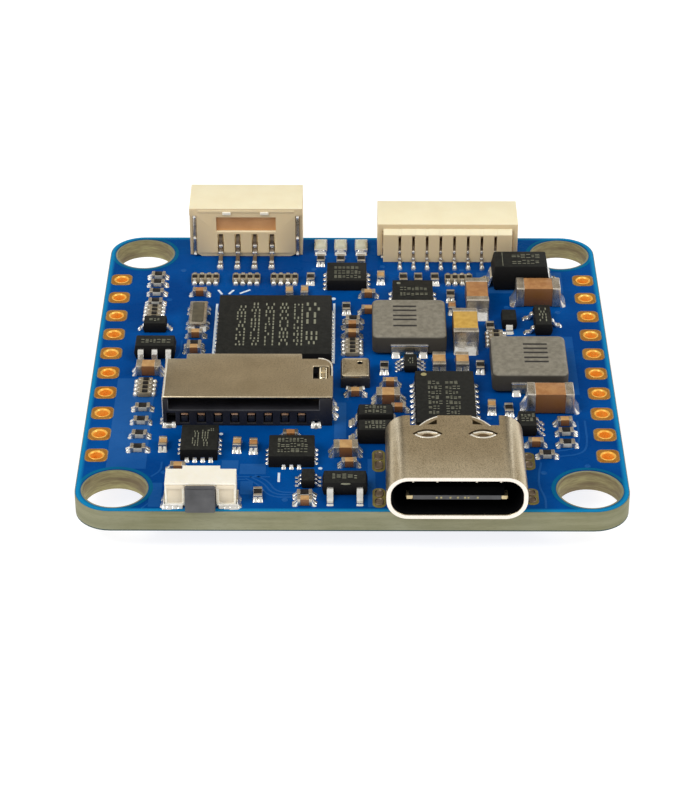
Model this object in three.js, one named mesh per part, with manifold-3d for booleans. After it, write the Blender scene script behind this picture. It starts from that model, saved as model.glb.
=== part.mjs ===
// Flight controller board: a square circuit board with its sockets, side button and chip packages.
// Millimetres, +Z up. The origin is the centre of the mounting-hole pattern on the board's underside.
// +Y is the edge with the two plug connectors, -Y is the edge with the USB socket and the button.
import * as THREE from 'three';
import { mergeVertices } from 'three/addons/utils/BufferGeometryUtils.js';
import Module from 'manifold-3d';

const wasm = await Module();
wasm.setup();

// ---------------------------------------------------------------- driving dimensions
const BOARD = {
  width: 35.6,
  thickness: 1.5,
  cornerRadius: 2.4,
  cornerSegments: 8,
  holePitch: 30.5,
  holeRadius: 2.05,
  holeSegments: 32,
};
const PAD_ROW = {
  x: 16.72,
  pitch: 2.54,
  count: 10,
  holeRadius: 0.5,
  holeSegments: 12,
};
// Running and resting clearance between neighbouring pieces.
const CLEARANCE = 0.02;
// How far two solids of one piece overlap before they are joined.
const JOIN = 0.1;
// How far a cutting block runs past the face it opens.
const THROUGH = 1;
// Corners closer together than this are one corner.
const WELD_DISTANCE = 1e-5;

const USB = {
  x: 6.6,
  frontY: -18.6,
  backY: -11.9,
  width: 8.94,
  height: 3.16,
  wall: 0.3,
  tongueWidth: 6.4,
  tongueFrontY: -18.15,
  tongueBottomZ: 1.2,
  tongueHeight: 0.72,
  plugStopY: -13.2,
  midPlateThickness: 0.25,
  midPlateEdge: 0.45,
  endSegments: 12,
};

const CARD_SOCKET = {
  left: -12.58,
  right: -1.3,
  frontY: -7.8,
  backY: -2.35,
  height: 2.25,
  shellThickness: 0.15,
  skirtBottomZ: 0.45,
  slotLeft: -12.1,
  slotRight: -2.2,
  slotBottomZ: 1.27,
  slotBackY: -3.1,
  windowCount: 8,
  windowPitch: 1.11,
  firstWindowX: -11.13,
  windowWidth: 0.57,
  windowBottomZ: 0.22,
  windowTopZ: 1.0,
  windowDepth: 0.9,
  latchHole: { left: -2.63, right: -1.62, frontY: -5.5, backY: -3.95 },
};

const BUTTON = {
  x: -9.62,
  width: 4.5,
  frontY: -17.38,
  backY: -15.71,
  bossWidth: 2.4,
  bossBackY: -15.35,
  height: 1.87,
  coverThickness: 0.15,
  plungerWidth: 1.9,
  plungerBottomZ: 0.1,
  plungerTopZ: 1.68,
  plungerFrontY: -18.14,
  plungerFlangeWidth: 2.5,
  plungerFlangeDepth: 0.25,
  plungerRunning: 0.06,
  frontLip: 0.25,
  shoulderWall: 0.25,
  bossWall: 0.3,
  domeThickness: 0.06,
  domeRise: 0.22,
  // Free space between the resting plunger and the dome's crown: the travel of 0.25 fits in it.
  domeGap: 0.28,
  domeMargin: 0.35,
  domeSteps: 8,
  terminalInset: 0.15,
  terminalWidth: 0.25,
  terminalDepth: 1.2,
  terminalHeight: 0.55,
};

// The larger plug connector: 1.25 mm pitch, with a locking window over the pins.
const PLUG_A = {
  name: 'connector_a',
  x: -7.78,
  width: 8.25,
  frontY: 14.85,
  backY: 18.6,
  height: 4.0,
  pinCount: 4,
  pitch: 1.25,
  pinWidth: 0.45,
  pinThickness: 0.2,
  footY: 13.0,
  bladeZ: 1.75,
  wall: 0.65,
  sideWall: 0.95,
  backWallY: 15.9,
  window: { width: 4.35, bottomZ: 2.15, topZ: 3.3, depth: 0.75 },
  nailFrontY: 15.15,
  nailThickness: 0.2,
  nailHeight: 2.6,
};
// The smaller plug connector: 1.0 mm pitch.
const PLUG_B = {
  name: 'connector_b',
  x: 6.97,
  width: 10.05,
  frontY: 14.1,
  backY: 18.1,
  height: 2.95,
  pinCount: 8,
  pitch: 1.0,
  pinWidth: 0.3,
  pinThickness: 0.2,
  footY: 12.95,
  bladeZ: 1.35,
  wall: 0.5,
  sideWall: 0.85,
  backWallY: 15.3,
  window: null,
  nailFrontY: 15.1,
  nailThickness: 0.2,
  nailHeight: 1.8,
};
// Shared by both plug connectors.
const PLUG = {
  slotClearance: 0.05,
  // Setback of the blades' tips from the mating face, and of the drops from the front wall.
  tipSetback: 0.8,
  dropSetback: 0.1,
  nailLength: 1.6,
  nailGrooveLength: 2,
};

// Moulded packages have a mid-height parting line, with the sides drafted towards top and bottom.
const PACKAGE = {
  draft: 0.06,
  cornerSegments: 5,
  // Gap under a body that stands on gull-wing leads or on folded straps.
  leadedStandoff: 0.1,
  strapStandoff: 0.05,
  strapOverlap: 0.4,
  leadThickness: 0.15,
  leadHeight: 0.5,
  leadFoot: 0.35,
  leadInset: 0.3,
};

const PRESSURE_SENSOR = {
  x: 0.21,
  y: -1.95,
  width: 2.0,
  depth: 2.45,
  baseHeight: 0.75,
  lidInset: 0.08,
  lidHeight: 0.22,
  portRadius: 0.18,
  portX: 0.53,
  portY: -1.45,
  portSegments: 16,
};

const LOOKS = {
  solderMask: { color: 0x00509a, roughness: 0.35, metalness: 0.0 },
  steel: { color: 0xa89c88, roughness: 0.35, metalness: 1.0 },
  gold: { color: 0xd9a441, roughness: 0.3, metalness: 1.0 },
  tin: { color: 0xd8d4cc, roughness: 0.3, metalness: 1.0 },
  blackPlastic: { color: 0x141416, roughness: 0.5, metalness: 0.0 },
  creamPlastic: { color: 0xf3e7c6, roughness: 0.55, metalness: 0.0 },
  greyPlastic: { color: 0x606264, roughness: 0.6, metalness: 0.0 },
  mould: { color: 0x303030, roughness: 0.65, metalness: 0.0 },
  ferrite: { color: 0x8f8a7c, roughness: 0.6, metalness: 0.1 },
  ceramicTan: { color: 0xb58a55, roughness: 0.45, metalness: 0.0 },
  ceramicYellow: { color: 0xcda54b, roughness: 0.45, metalness: 0.0 },
  ledWhite: { color: 0xf1ecd9, roughness: 0.4, metalness: 0.0 },
};

// ---------------------------------------------------------------- solids and booleans
function solidFrom(geometry) {
  const bare = geometry.index ? geometry.toNonIndexed() : geometry.clone();
  bare.deleteAttribute('normal');
  bare.deleteAttribute('uv');
  const merged = mergeVertices(bare, WELD_DISTANCE);
  return new wasm.Manifold(new wasm.Mesh({
    numProp: 3,
    vertProperties: new Float32Array(merged.attributes.position.array),
    triVerts: new Uint32Array(merged.index.array),
  }));
}

function geometryFrom(solid) {
  const mesh = solid.getMesh();
  const geometry = new THREE.BufferGeometry();
  geometry.setAttribute('position', new THREE.BufferAttribute(new Float32Array(mesh.vertProperties), 3));
  geometry.setIndex(new THREE.BufferAttribute(new Uint32Array(mesh.triVerts), 1));
  geometry.computeVertexNormals();
  return geometry;
}

function union(first, ...others) {
  return geometryFrom(others.reduce((sum, next) => sum.add(solidFrom(next)), solidFrom(first)));
}

function cut(body, ...tools) {
  return geometryFrom(tools.reduce((rest, tool) => rest.subtract(solidFrom(tool)), solidFrom(body)));
}

function block(x0, x1, y0, y1, z0, z1) {
  const geometry = new THREE.BoxGeometry(x1 - x0, y1 - y0, z1 - z0);
  geometry.translate((x0 + x1) / 2, (y0 + y1) / 2, (z0 + z1) / 2);
  return geometry;
}

// A block standing on z = 0, centred on (x, y).
function standingBlock(width, depth, height, x = 0, y = 0, z = 0) {
  return block(x - width / 2, x + width / 2, y - depth / 2, y + depth / 2, z, z + height);
}

// Extrudes an outline drawn in (y, z) along X, from x0 to x1.
function alongX(outline, x0, x1) {
  const shape = new THREE.Shape(outline.map(([y, z]) => new THREE.Vector2(y, z)));
  const geometry = new THREE.ExtrudeGeometry(shape, { depth: x1 - x0, bevelEnabled: false });
  const yAxis = new THREE.Vector3(0, 1, 0);
  const zAxis = new THREE.Vector3(0, 0, 1);
  const xAxis = new THREE.Vector3(1, 0, 0);
  geometry.applyMatrix4(new THREE.Matrix4().makeBasis(yAxis, zAxis, xAxis));
  geometry.translate(x0, 0, 0);
  return geometry;
}

// Extrudes a shape drawn in (x, z) along Y, from frontY to backY.
function alongY(shape, frontY, backY, segments) {
  const geometry = new THREE.ExtrudeGeometry(shape, {
    depth: backY - frontY,
    bevelEnabled: false,
    curveSegments: segments,
  });
  geometry.rotateX(Math.PI / 2);
  geometry.translate(0, backY, 0);
  return geometry;
}

function alongZ(shape, bottomZ, topZ, segments) {
  const geometry = new THREE.ExtrudeGeometry(shape, {
    depth: topZ - bottomZ,
    bevelEnabled: false,
    curveSegments: segments,
  });
  geometry.translate(0, 0, bottomZ);
  return geometry;
}

function circlePath(x, y, radius, segments) {
  const points = [];
  for (let i = 0; i < segments; i += 1) {
    const angle = (2 * Math.PI * i) / segments;
    points.push(new THREE.Vector2(x + radius * Math.cos(angle), y + radius * Math.sin(angle)));
  }
  return new THREE.Path(points);
}

function roundedRectangle(width, height, radius) {
  const x = width / 2;
  const y = height / 2;
  const shape = new THREE.Shape();
  shape.moveTo(-x + radius, -y);
  shape.lineTo(x - radius, -y);
  shape.absarc(x - radius, -y + radius, radius, -Math.PI / 2, 0);
  shape.lineTo(x, y - radius);
  shape.absarc(x - radius, y - radius, radius, 0, Math.PI / 2);
  shape.lineTo(-x + radius, y);
  shape.absarc(-x + radius, y - radius, radius, Math.PI / 2, Math.PI);
  shape.lineTo(-x, -y + radius);
  shape.absarc(-x + radius, -y + radius, radius, Math.PI, 1.5 * Math.PI);
  return shape;
}

// A full-round slot outline, such as a USB-C shell's, centred on the origin.
function stadium(width, height) {
  const radius = height / 2;
  const straight = width / 2 - radius;
  const shape = new THREE.Shape();
  shape.moveTo(-straight, -radius);
  shape.lineTo(straight, -radius);
  shape.absarc(straight, 0, radius, -Math.PI / 2, Math.PI / 2);
  shape.lineTo(-straight, radius);
  shape.absarc(-straight, 0, radius, Math.PI / 2, 1.5 * Math.PI);
  return shape;
}

// ---------------------------------------------------------------- scene helpers
const group = new THREE.Group();
const onBoard = new THREE.Group();
onBoard.position.z = BOARD.thickness;
group.add(onBoard);

function addPiece(parent, name, geometry, look) {
  const mesh = new THREE.Mesh(geometry, new THREE.MeshStandardMaterial(look));
  mesh.name = name;
  parent.add(mesh);
  return mesh;
}

// ---------------------------------------------------------------- circuit board
function makeBoard() {
  const outline = roundedRectangle(BOARD.width, BOARD.width, BOARD.cornerRadius);
  const half = BOARD.holePitch / 2;
  for (const x of [-half, half]) {
    for (const y of [-half, half]) {
      outline.holes.push(circlePath(x, y, BOARD.holeRadius, BOARD.holeSegments));
    }
  }
  for (const x of [-PAD_ROW.x, PAD_ROW.x]) {
    for (let i = 0; i < PAD_ROW.count; i += 1) {
      const y = (i - (PAD_ROW.count - 1) / 2) * PAD_ROW.pitch;
      outline.holes.push(circlePath(x, y, PAD_ROW.holeRadius, PAD_ROW.holeSegments));
    }
  }
  const plate = alongZ(outline, 0, BOARD.thickness, BOARD.cornerSegments);
  addPiece(group, 'circuit_board', plate, LOOKS.solderMask);
}

// ---------------------------------------------------------------- USB socket
function makeUsbSocket() {
  const centreZ = USB.height / 2;
  const outer = stadium(USB.width, USB.height);
  const inner = stadium(USB.width - 2 * USB.wall, USB.height - 2 * USB.wall);
  outer.holes.push(new THREE.Path(inner.getPoints(USB.endSegments)));
  const shell = alongY(outer, USB.frontY, USB.backY, USB.endSegments);
  addPiece(onBoard, 'usb_shell', shell, LOOKS.steel).position.set(USB.x, 0, centreZ);

  // The moulded insulator fills the back of the shell and carries the contact tongue.
  const plug = stadium(USB.width - 2 * USB.wall - 2 * CLEARANCE, USB.height - 2 * USB.wall - 2 * CLEARANCE);
  const base = alongY(plug, USB.plugStopY, USB.backY, USB.endSegments);
  const tongueZ = USB.tongueBottomZ - centreZ;
  const half = USB.tongueWidth / 2;
  const tongueTopZ = tongueZ + USB.tongueHeight;
  const tongue = block(-half, half, USB.tongueFrontY, USB.plugStopY + JOIN, tongueZ, tongueTopZ);
  const plateZ = tongueZ + (USB.tongueHeight - USB.midPlateThickness) / 2;
  const plateTop = plateZ + USB.midPlateThickness;
  const plateBackY = USB.plugStopY - CLEARANCE;
  const grooves = [-1, 1].map((side) => block(
    side > 0 ? half - USB.midPlateEdge : -half - JOIN,
    side > 0 ? half + JOIN : -half + USB.midPlateEdge,
    USB.tongueFrontY - JOIN,
    USB.plugStopY,
    plateZ - CLEARANCE,
    plateTop + CLEARANCE,
  ));
  const insulator = cut(union(base, tongue), ...grooves);
  addPiece(onBoard, 'usb_insulator', insulator, LOOKS.blackPlastic).position.set(USB.x, 0, centreZ);

  // Two latch edges of the steel mid-plate show along the tongue's sides.
  for (const [label, side] of [['left', -1], ['right', 1]]) {
    const innerX = half - USB.midPlateEdge + CLEARANCE;
    const x0 = side > 0 ? innerX : -half;
    const x1 = side > 0 ? half : -innerX;
    const edge = block(x0, x1, USB.tongueFrontY, plateBackY, plateZ, plateTop);
    addPiece(onBoard, `usb_latch_edge_${label}`, edge, LOOKS.gold).position.set(USB.x, 0, centreZ);
  }
}

// ---------------------------------------------------------------- memory card socket
function makeCardSocket() {
  const s = CARD_SOCKET;
  const skin = s.shellThickness;
  const topZ = s.height - skin;
  const baseLeft = s.left + skin + CLEARANCE;
  const baseRight = s.right - skin - CLEARANCE;
  const body = block(baseLeft, baseRight, s.frontY, s.backY, 0, topZ - CLEARANCE);
  const slot = block(s.slotLeft, s.slotRight, s.frontY - THROUGH, s.slotBackY, s.slotBottomZ, s.height);
  const windows = [];
  for (let i = 0; i < s.windowCount; i += 1) {
    const x = s.firstWindowX + i * s.windowPitch;
    const half = s.windowWidth / 2;
    const depth = s.frontY + s.windowDepth;
    windows.push(block(x - half, x + half, s.frontY - THROUGH, depth, s.windowBottomZ, s.windowTopZ));
  }
  addPiece(onBoard, 'card_socket_base', cut(body, slot, ...windows), LOOKS.blackPlastic);

  const roof = block(s.left, s.right, s.frontY, s.backY, topZ, s.height);
  const leftSkirt = block(s.left, s.left + skin, s.frontY, s.backY, s.skirtBottomZ, s.height);
  const rightSkirt = block(s.right - skin, s.right, s.frontY, s.backY, s.skirtBottomZ, s.height);
  const hole = s.latchHole;
  const opening = block(
    hole.left,
    hole.right,
    hole.frontY,
    hole.backY,
    topZ - THROUGH,
    s.height + THROUGH,
  );
  const shell = cut(union(roof, leftSkirt, rightSkirt), opening);
  addPiece(onBoard, 'card_socket_shell', shell, LOOKS.steel);
}

// ---------------------------------------------------------------- side button
function makeButton() {
  const b = BUTTON;
  const topZ = b.height - b.coverThickness;
  const half = b.width / 2;
  const bossHalf = b.bossWidth / 2;
  const cavityBackY = b.backY - b.shoulderWall;
  const domeWellHalf = bossHalf - b.bossWall;
  const domeWellBackY = b.bossBackY - b.bossWall;
  const openingHalf = b.plungerWidth / 2 + b.plungerRunning;
  const flangeHalf = b.plungerFlangeWidth / 2 + b.plungerRunning;
  const lipBackY = b.frontY + b.frontLip;
  const floorZ = b.plungerBottomZ - b.plungerRunning;
  const outer = block(-half, half, b.frontY, b.backY, 0, topZ - CLEARANCE);
  const boss = block(-bossHalf, bossHalf, b.backY - JOIN, b.bossBackY, 0, topZ - CLEARANCE);
  const opening = block(-openingHalf, openingHalf, b.frontY - THROUGH, lipBackY + JOIN, floorZ, b.height);
  const cavity = block(-flangeHalf, flangeHalf, lipBackY, cavityBackY, floorZ, b.height);
  const domeWell = block(
    -domeWellHalf,
    domeWellHalf,
    cavityBackY - JOIN,
    domeWellBackY,
    floorZ,
    b.height,
  );
  const housing = cut(union(outer, boss), opening, cavity, domeWell);
  addPiece(onBoard, 'button_housing', housing, LOOKS.creamPlastic).position.x = b.x;

  const coverPlate = union(
    block(-half, half, b.frontY, b.backY, topZ, b.height),
    block(-bossHalf, bossHalf, b.backY - JOIN, b.bossBackY, topZ, b.height),
  );
  addPiece(onBoard, 'button_cover', coverPlate, LOOKS.creamPlastic).position.x = b.x;

  // The plunger's flange sits behind the housing's front lip and keeps it from falling out.
  const stemHalf = b.plungerWidth / 2;
  const flangeY = lipBackY + CLEARANCE;
  const flangeBackY = flangeY + b.plungerFlangeDepth;
  const stem = block(-stemHalf, stemHalf, b.plungerFrontY, flangeBackY, b.plungerBottomZ, b.plungerTopZ);
  const flangeWide = b.plungerFlangeWidth / 2;
  const flange = block(-flangeWide, flangeWide, flangeY, flangeBackY, b.plungerBottomZ, b.plungerTopZ);
  addPiece(onBoard, 'button_plunger', union(stem, flange), LOOKS.greyPlastic).position.x = b.x;

  addPiece(onBoard, 'button_dome', makeDome(flangeBackY + b.domeGap), LOOKS.steel).position.x = b.x;
  makeButtonTerminals();
}

// A snap dome standing on edge: a thin strip bowed towards the plunger.
function makeDome(crownY) {
  const b = BUTTON;
  const halfSpan = b.bossWidth / 2 - b.domeMargin;
  const front = [];
  const back = [];
  for (let i = 0; i <= b.domeSteps; i += 1) {
    const x = -halfSpan + (2 * halfSpan * i) / b.domeSteps;
    const sag = b.domeRise * (x / halfSpan) ** 2;
    front.push(new THREE.Vector2(x, crownY + sag));
    back.unshift(new THREE.Vector2(x, crownY + sag + b.domeThickness));
  }
  const bottomZ = b.plungerBottomZ + b.domeMargin;
  const topZ = b.plungerTopZ - b.domeMargin;
  return alongZ(new THREE.Shape([...front, ...back]), bottomZ, topZ, 1);
}

function makeButtonTerminals() {
  const b = BUTTON;
  const frontY = b.frontY + b.terminalInset;
  for (const [label, side] of [['left', -1], ['right', 1]]) {
    const innerX = b.width / 2 + CLEARANCE;
    const outerX = innerX + b.terminalWidth;
    const x0 = side > 0 ? innerX : -outerX;
    const x1 = side > 0 ? outerX : -innerX;
    const terminal = block(x0, x1, frontY, frontY + b.terminalDepth, 0, b.terminalHeight);
    addPiece(onBoard, `button_terminal_${label}`, terminal, LOOKS.tin).position.x = b.x;
  }
}

// ---------------------------------------------------------------- plug connectors
function pinCentres(plug) {
  const firstX = plug.x - ((plug.pinCount - 1) / 2) * plug.pitch;
  return Array.from({ length: plug.pinCount }, (_, i) => firstX + i * plug.pitch);
}

function makePlugHousing(plug) {
  const left = plug.x - plug.width / 2;
  const right = plug.x + plug.width / 2;
  const body = block(left, right, plug.frontY, plug.backY, 0, plug.height);
  const cavityTop = plug.height - plug.wall;
  const cavity = block(
    left + plug.sideWall,
    right - plug.sideWall,
    plug.backWallY,
    plug.backY + THROUGH,
    plug.wall,
    cavityTop,
  );
  const tools = [cavity];
  for (const x of pinCentres(plug)) {
    const half = plug.pinWidth / 2 + PLUG.slotClearance;
    const slotTop = plug.bladeZ + plug.pinThickness + PLUG.slotClearance;
    const slotBackY = plug.backWallY + JOIN;
    tools.push(block(x - half, x + half, plug.frontY - THROUGH, slotBackY, -THROUGH, slotTop));
  }
  if (plug.window) {
    const { width, bottomZ, topZ, depth } = plug.window;
    tools.push(standingBlock(width, 2 * depth, topZ - bottomZ, plug.x, plug.frontY, bottomZ));
  }
  for (const side of [-1, 1]) {
    const x = plug.x + side * (plug.width / 2);
    const depth = plug.nailThickness + 2 * CLEARANCE;
    const top = plug.nailHeight + CLEARANCE;
    tools.push(block(
      side > 0 ? x - depth : x - THROUGH,
      side > 0 ? x + THROUGH : x + depth,
      plug.frontY - THROUGH,
      plug.nailFrontY + PLUG.nailGrooveLength,
      -THROUGH,
      top,
    ));
  }
  addPiece(onBoard, `${plug.name}_housing`, cut(body, ...tools), LOOKS.creamPlastic);
}

// One contact: a blade in the cavity, a drop inside the front wall's slot and a foot on the board.
function pinOutline(plug) {
  const t = plug.pinThickness;
  const tipY = plug.backY - PLUG.tipSetback;
  const dropY = plug.frontY + PLUG.dropSetback;
  return [
    [plug.footY, 0],
    [dropY + t, 0],
    [dropY + t, plug.bladeZ],
    [tipY, plug.bladeZ],
    [tipY, plug.bladeZ + t],
    [dropY, plug.bladeZ + t],
    [dropY, t],
    [plug.footY, t],
  ];
}

function makePlugPins(plug) {
  pinCentres(plug).forEach((x, i) => {
    const pin = alongX(pinOutline(plug), x - plug.pinWidth / 2, x + plug.pinWidth / 2);
    addPiece(onBoard, `${plug.name}_pin_${i + 1}`, pin, LOOKS.tin);
  });
}

// The fitting nails stand in the side grooves and are soldered to the board.
function makePlugNails(plug) {
  for (const [label, side] of [['left', -1], ['right', 1]]) {
    const outerX = plug.x + side * (plug.width / 2);
    const innerX = outerX - side * plug.nailThickness;
    const nail = block(
      Math.min(outerX, innerX),
      Math.max(outerX, innerX),
      plug.nailFrontY,
      plug.nailFrontY + PLUG.nailLength,
      0,
      plug.nailHeight,
    );
    addPiece(onBoard, `${plug.name}_nail_${label}`, nail, LOOKS.tin);
  }
}

function makePlugConnector(plug) {
  makePlugHousing(plug);
  makePlugPins(plug);
  makePlugNails(plug);
}

// ---------------------------------------------------------------- chip packages
// Three stacked rectangles: narrow at the top and bottom, full size at the parting line.
function mouldedBody(width, depth, height, bottomZ = 0) {
  const levels = [
    [PACKAGE.draft, bottomZ],
    [0, (bottomZ + height) / 2],
    [PACKAGE.draft, height],
  ];
  const positions = [];
  for (const [inset, z] of levels) {
    const x = width / 2 - inset;
    const y = depth / 2 - inset;
    positions.push(-x, -y, z, x, -y, z, x, y, z, -x, y, z);
  }
  const faces = [0, 2, 1, 0, 3, 2, 8, 9, 10, 8, 10, 11];
  for (const low of [0, 4]) {
    for (let side = 0; side < 4; side += 1) {
      const a = low + side;
      const b = low + ((side + 1) % 4);
      faces.push(a, b, b + 4, a, b + 4, a + 4);
    }
  }
  const geometry = new THREE.BufferGeometry();
  geometry.setAttribute('position', new THREE.BufferAttribute(new Float32Array(positions), 3));
  geometry.setIndex(faces);
  return geometry;
}

// A gull-wing lead that leaves the body towards -Y at the parting line and ends in a flat foot.
function gullWing(x, edge, reach, width) {
  const t = PACKAGE.leadThickness;
  const shoulder = edge + (reach - PACKAGE.leadFoot) / 2;
  const knee = edge + reach - PACKAGE.leadFoot;
  const outline = [
    [-(edge - PACKAGE.leadInset), PACKAGE.leadHeight],
    [-shoulder, PACKAGE.leadHeight],
    [-knee, t],
    [-(edge + reach), t],
    [-(edge + reach), 0],
    [-(knee - t / 2), 0],
    [-(shoulder - t / 2), PACKAGE.leadHeight - t],
    [-(edge - PACKAGE.leadInset), PACKAGE.leadHeight - t],
  ];
  return alongX(outline.reverse(), x - width / 2, x + width / 2);
}

const SIDE_TURNS = { front: 0, right: Math.PI / 2, back: Math.PI, left: -Math.PI / 2 };

// leads: { side, places } where places are offsets along that side, seen from outside the package.
function leadedPackage({ size: [width, depth, height], leads, leadWidth, leadReach }) {
  const body = mouldedBody(width, depth, height, PACKAGE.leadedStandoff);
  const wings = [];
  for (const { side, places } of leads) {
    const edge = side === 'front' || side === 'back' ? depth / 2 : width / 2;
    for (const place of places) {
      const wing = gullWing(place, edge, leadReach, leadWidth);
      wing.rotateZ(SIDE_TURNS[side]);
      wings.push(wing);
    }
  }
  return union(body, ...wings);
}

// A two-lead diode: moulded body with a strap folded under each end.
function strapPackage({ size: [width, depth, height], strapWidth, strapReach, strapHeight }) {
  const body = mouldedBody(width, depth, height, PACKAGE.strapStandoff);
  const reach = width / 2 + strapReach;
  const straps = [-1, 1].map((side) => block(
    side > 0 ? width / 2 - PACKAGE.strapOverlap : -reach,
    side > 0 ? reach : -width / 2 + PACKAGE.strapOverlap,
    -strapWidth / 2,
    strapWidth / 2,
    0,
    strapHeight,
  ));
  return union(body, ...straps);
}

const THREE_LEADS = [-0.95, 0, 0.95];
const OUTER_LEADS = [-0.95, 0.95];

// Every package stands on the board's top face, centred on (x, y).
const PACKAGES = [
  { name: 'processor', at: [-5.43, 3.48], size: [8.0, 8.0, 1.1], look: LOOKS.mould },
  { name: 'motion_sensor_left', at: [-10.0, -10.55], size: [2.45, 3.0, 0.87], look: LOOKS.mould },
  { name: 'motion_sensor_right', at: [-3.95, -11.56], size: [3.0, 2.54, 0.89], look: LOOKS.mould },
  { name: 'video_overlay_chip', at: [6.24, -5.8], size: [4.05, 6.5, 1.05], look: LOOKS.mould },
  { name: 'switching_regulator', at: [4.32, 8.5], size: [2.9, 2.9, 0.9], look: LOOKS.mould },
  { name: 'charge_chip', at: [-0.4, 11.22], size: [2.87, 2.65, 0.87], look: LOOKS.mould },
  { name: 'load_switch', at: [-2.84, -14.53], size: [0.88, 1.45, 0.65], look: LOOKS.mould },
  {
    name: 'inductor_left',
    at: [3.96, 3.65],
    size: [5.15, 5.15, 1.55],
    look: LOOKS.ferrite,
    rounded: 0.7,
  },
  {
    name: 'inductor_right',
    at: [12.06, -1.25],
    size: [5.15, 5.15, 1.55],
    look: LOOKS.ferrite,
    rounded: 0.7,
  },
  { name: 'capacitor_front_right', at: [13.25, -5.63], size: [3.15, 1.6, 1.6], look: LOOKS.ceramicTan },
  { name: 'capacitor_back_right', at: [13.25, 8.45], size: [3.15, 1.65, 1.55], look: LOOKS.ceramicTan },
  { name: 'capacitor_back_centre', at: [8.87, 7.72], size: [1.6, 3.2, 1.5], look: LOOKS.ceramicTan },
  { name: 'capacitor_centre', at: [7.88, 3.08], size: [1.76, 3.2, 1.73], look: LOOKS.ceramicYellow },
  { name: 'crystal', at: [-10.9, 6.0], size: [1.5, 3.3, 0.6], look: LOOKS.ceramicTan },
  { name: 'led_left', at: [-2.33, 16.1], size: [0.95, 1.6, 0.6], look: LOOKS.ledWhite },
  { name: 'led_middle', at: [-0.86, 16.1], size: [0.95, 1.6, 0.6], look: LOOKS.ledWhite },
  { name: 'led_right', at: [0.66, 16.1], size: [0.95, 1.6, 0.6], look: LOOKS.ledWhite },
];

const LEADED_PACKAGES = [
  {
    name: 'linear_regulator',
    at: [-13.63, 1.2],
    size: [2.85, 1.6, 1.1],
    leadWidth: 0.38,
    leadReach: 0.55,
    leads: [{ side: 'front', places: THREE_LEADS }, { side: 'back', places: THREE_LEADS }],
  },
  {
    name: 'transistor_front',
    at: [-0.47, -15.3],
    size: [2.9, 1.6, 1.0],
    leadWidth: 0.39,
    leadReach: 0.75,
    leads: [{ side: 'front', places: OUTER_LEADS }, { side: 'back', places: [0] }],
  },
  {
    name: 'transistor_right',
    at: [13.4, 5.05],
    size: [1.3, 2.9, 0.95],
    leadWidth: 0.38,
    leadReach: 0.55,
    leads: [{ side: 'left', places: OUTER_LEADS }, { side: 'right', places: [0] }],
  },
  {
    name: 'buffer_chip',
    at: [11.6, -8.23],
    size: [1.25, 1.95, 0.88],
    leadWidth: 0.25,
    leadReach: 0.4,
    leads: [{ side: 'left', places: [-0.65, 0.65] }, { side: 'right', places: [-0.65, 0, 0.65] }],
  },
  {
    name: 'reference_chip',
    at: [4.0, -0.45],
    size: [0.95, 1.7, 0.6],
    leadWidth: 0.25,
    leadReach: 0.45,
    leads: [{ side: 'left', places: [-0.5, 0.5] }, { side: 'right', places: [-0.5, 0.5] }],
  },
];

const STRAP_PACKAGES = [
  {
    name: 'power_diode',
    at: [12.1, 11.1],
    size: [4.1, 2.6, 2.0],
    strapWidth: 1.5,
    strapReach: 0.45,
    strapHeight: 0.9,
  },
  {
    name: 'diode_upper',
    at: [1.55, -7.57],
    size: [2.45, 1.45, 1.15],
    strapWidth: 0.8,
    strapReach: 0.3,
    strapHeight: 0.5,
  },
  {
    name: 'diode_lower',
    at: [1.55, -9.45],
    size: [2.45, 1.45, 1.15],
    strapWidth: 0.8,
    strapReach: 0.3,
    strapHeight: 0.5,
  },
  {
    name: 'diode_left',
    at: [-13.85, 4.55],
    size: [1.65, 1.2, 0.8],
    strapWidth: 0.35,
    strapReach: 0.4,
    strapHeight: 0.35,
  },
  {
    name: 'diode_right',
    at: [11.05, 5.3],
    size: [1.55, 1.1, 0.8],
    turned: true,
    strapWidth: 0.35,
    strapReach: 0.4,
    strapHeight: 0.35,
  },
];

function makePackages() {
  for (const { name, at, size: [width, depth, height], look, rounded } of PACKAGES) {
    const geometry = rounded
      ? alongZ(roundedRectangle(width, depth, rounded), 0, height, PACKAGE.cornerSegments)
      : standingBlock(width, depth, height);
    addPiece(onBoard, name, geometry, look).position.set(at[0], at[1], 0);
  }
  for (const spec of LEADED_PACKAGES) {
    const mesh = addPiece(onBoard, spec.name, leadedPackage(spec), LOOKS.mould);
    mesh.position.set(spec.at[0], spec.at[1], 0);
  }
  for (const spec of STRAP_PACKAGES) {
    const mesh = addPiece(onBoard, spec.name, strapPackage(spec), LOOKS.mould);
    mesh.position.set(spec.at[0], spec.at[1], 0);
    mesh.rotation.z = spec.turned ? Math.PI / 2 : 0;
  }
}

// A black moulded base under a metal lid with one pressure port.
function makePressureSensor() {
  const p = PRESSURE_SENSOR;
  const base = standingBlock(p.width, p.depth, p.baseHeight, p.x, p.y);
  addPiece(onBoard, 'pressure_sensor_base', base, LOOKS.blackPlastic);
  const width = p.width - 2 * p.lidInset;
  const depth = p.depth - 2 * p.lidInset;
  const lid = standingBlock(width, depth, p.lidHeight, p.x, p.y, p.baseHeight);
  const portLength = 2 * (p.lidHeight + JOIN);
  const port = new THREE.CylinderGeometry(p.portRadius, p.portRadius, portLength, p.portSegments);
  port.rotateX(Math.PI / 2);
  port.translate(p.portX, p.portY, p.baseHeight + p.lidHeight + JOIN);
  addPiece(onBoard, 'pressure_sensor_lid', cut(lid, port), LOOKS.steel);
}

makeBoard();
makeUsbSocket();
makeCardSocket();
makeButton();
makePlugConnector(PLUG_A);
makePlugConnector(PLUG_B);
makePackages();
makePressureSensor();

export default group;
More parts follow.
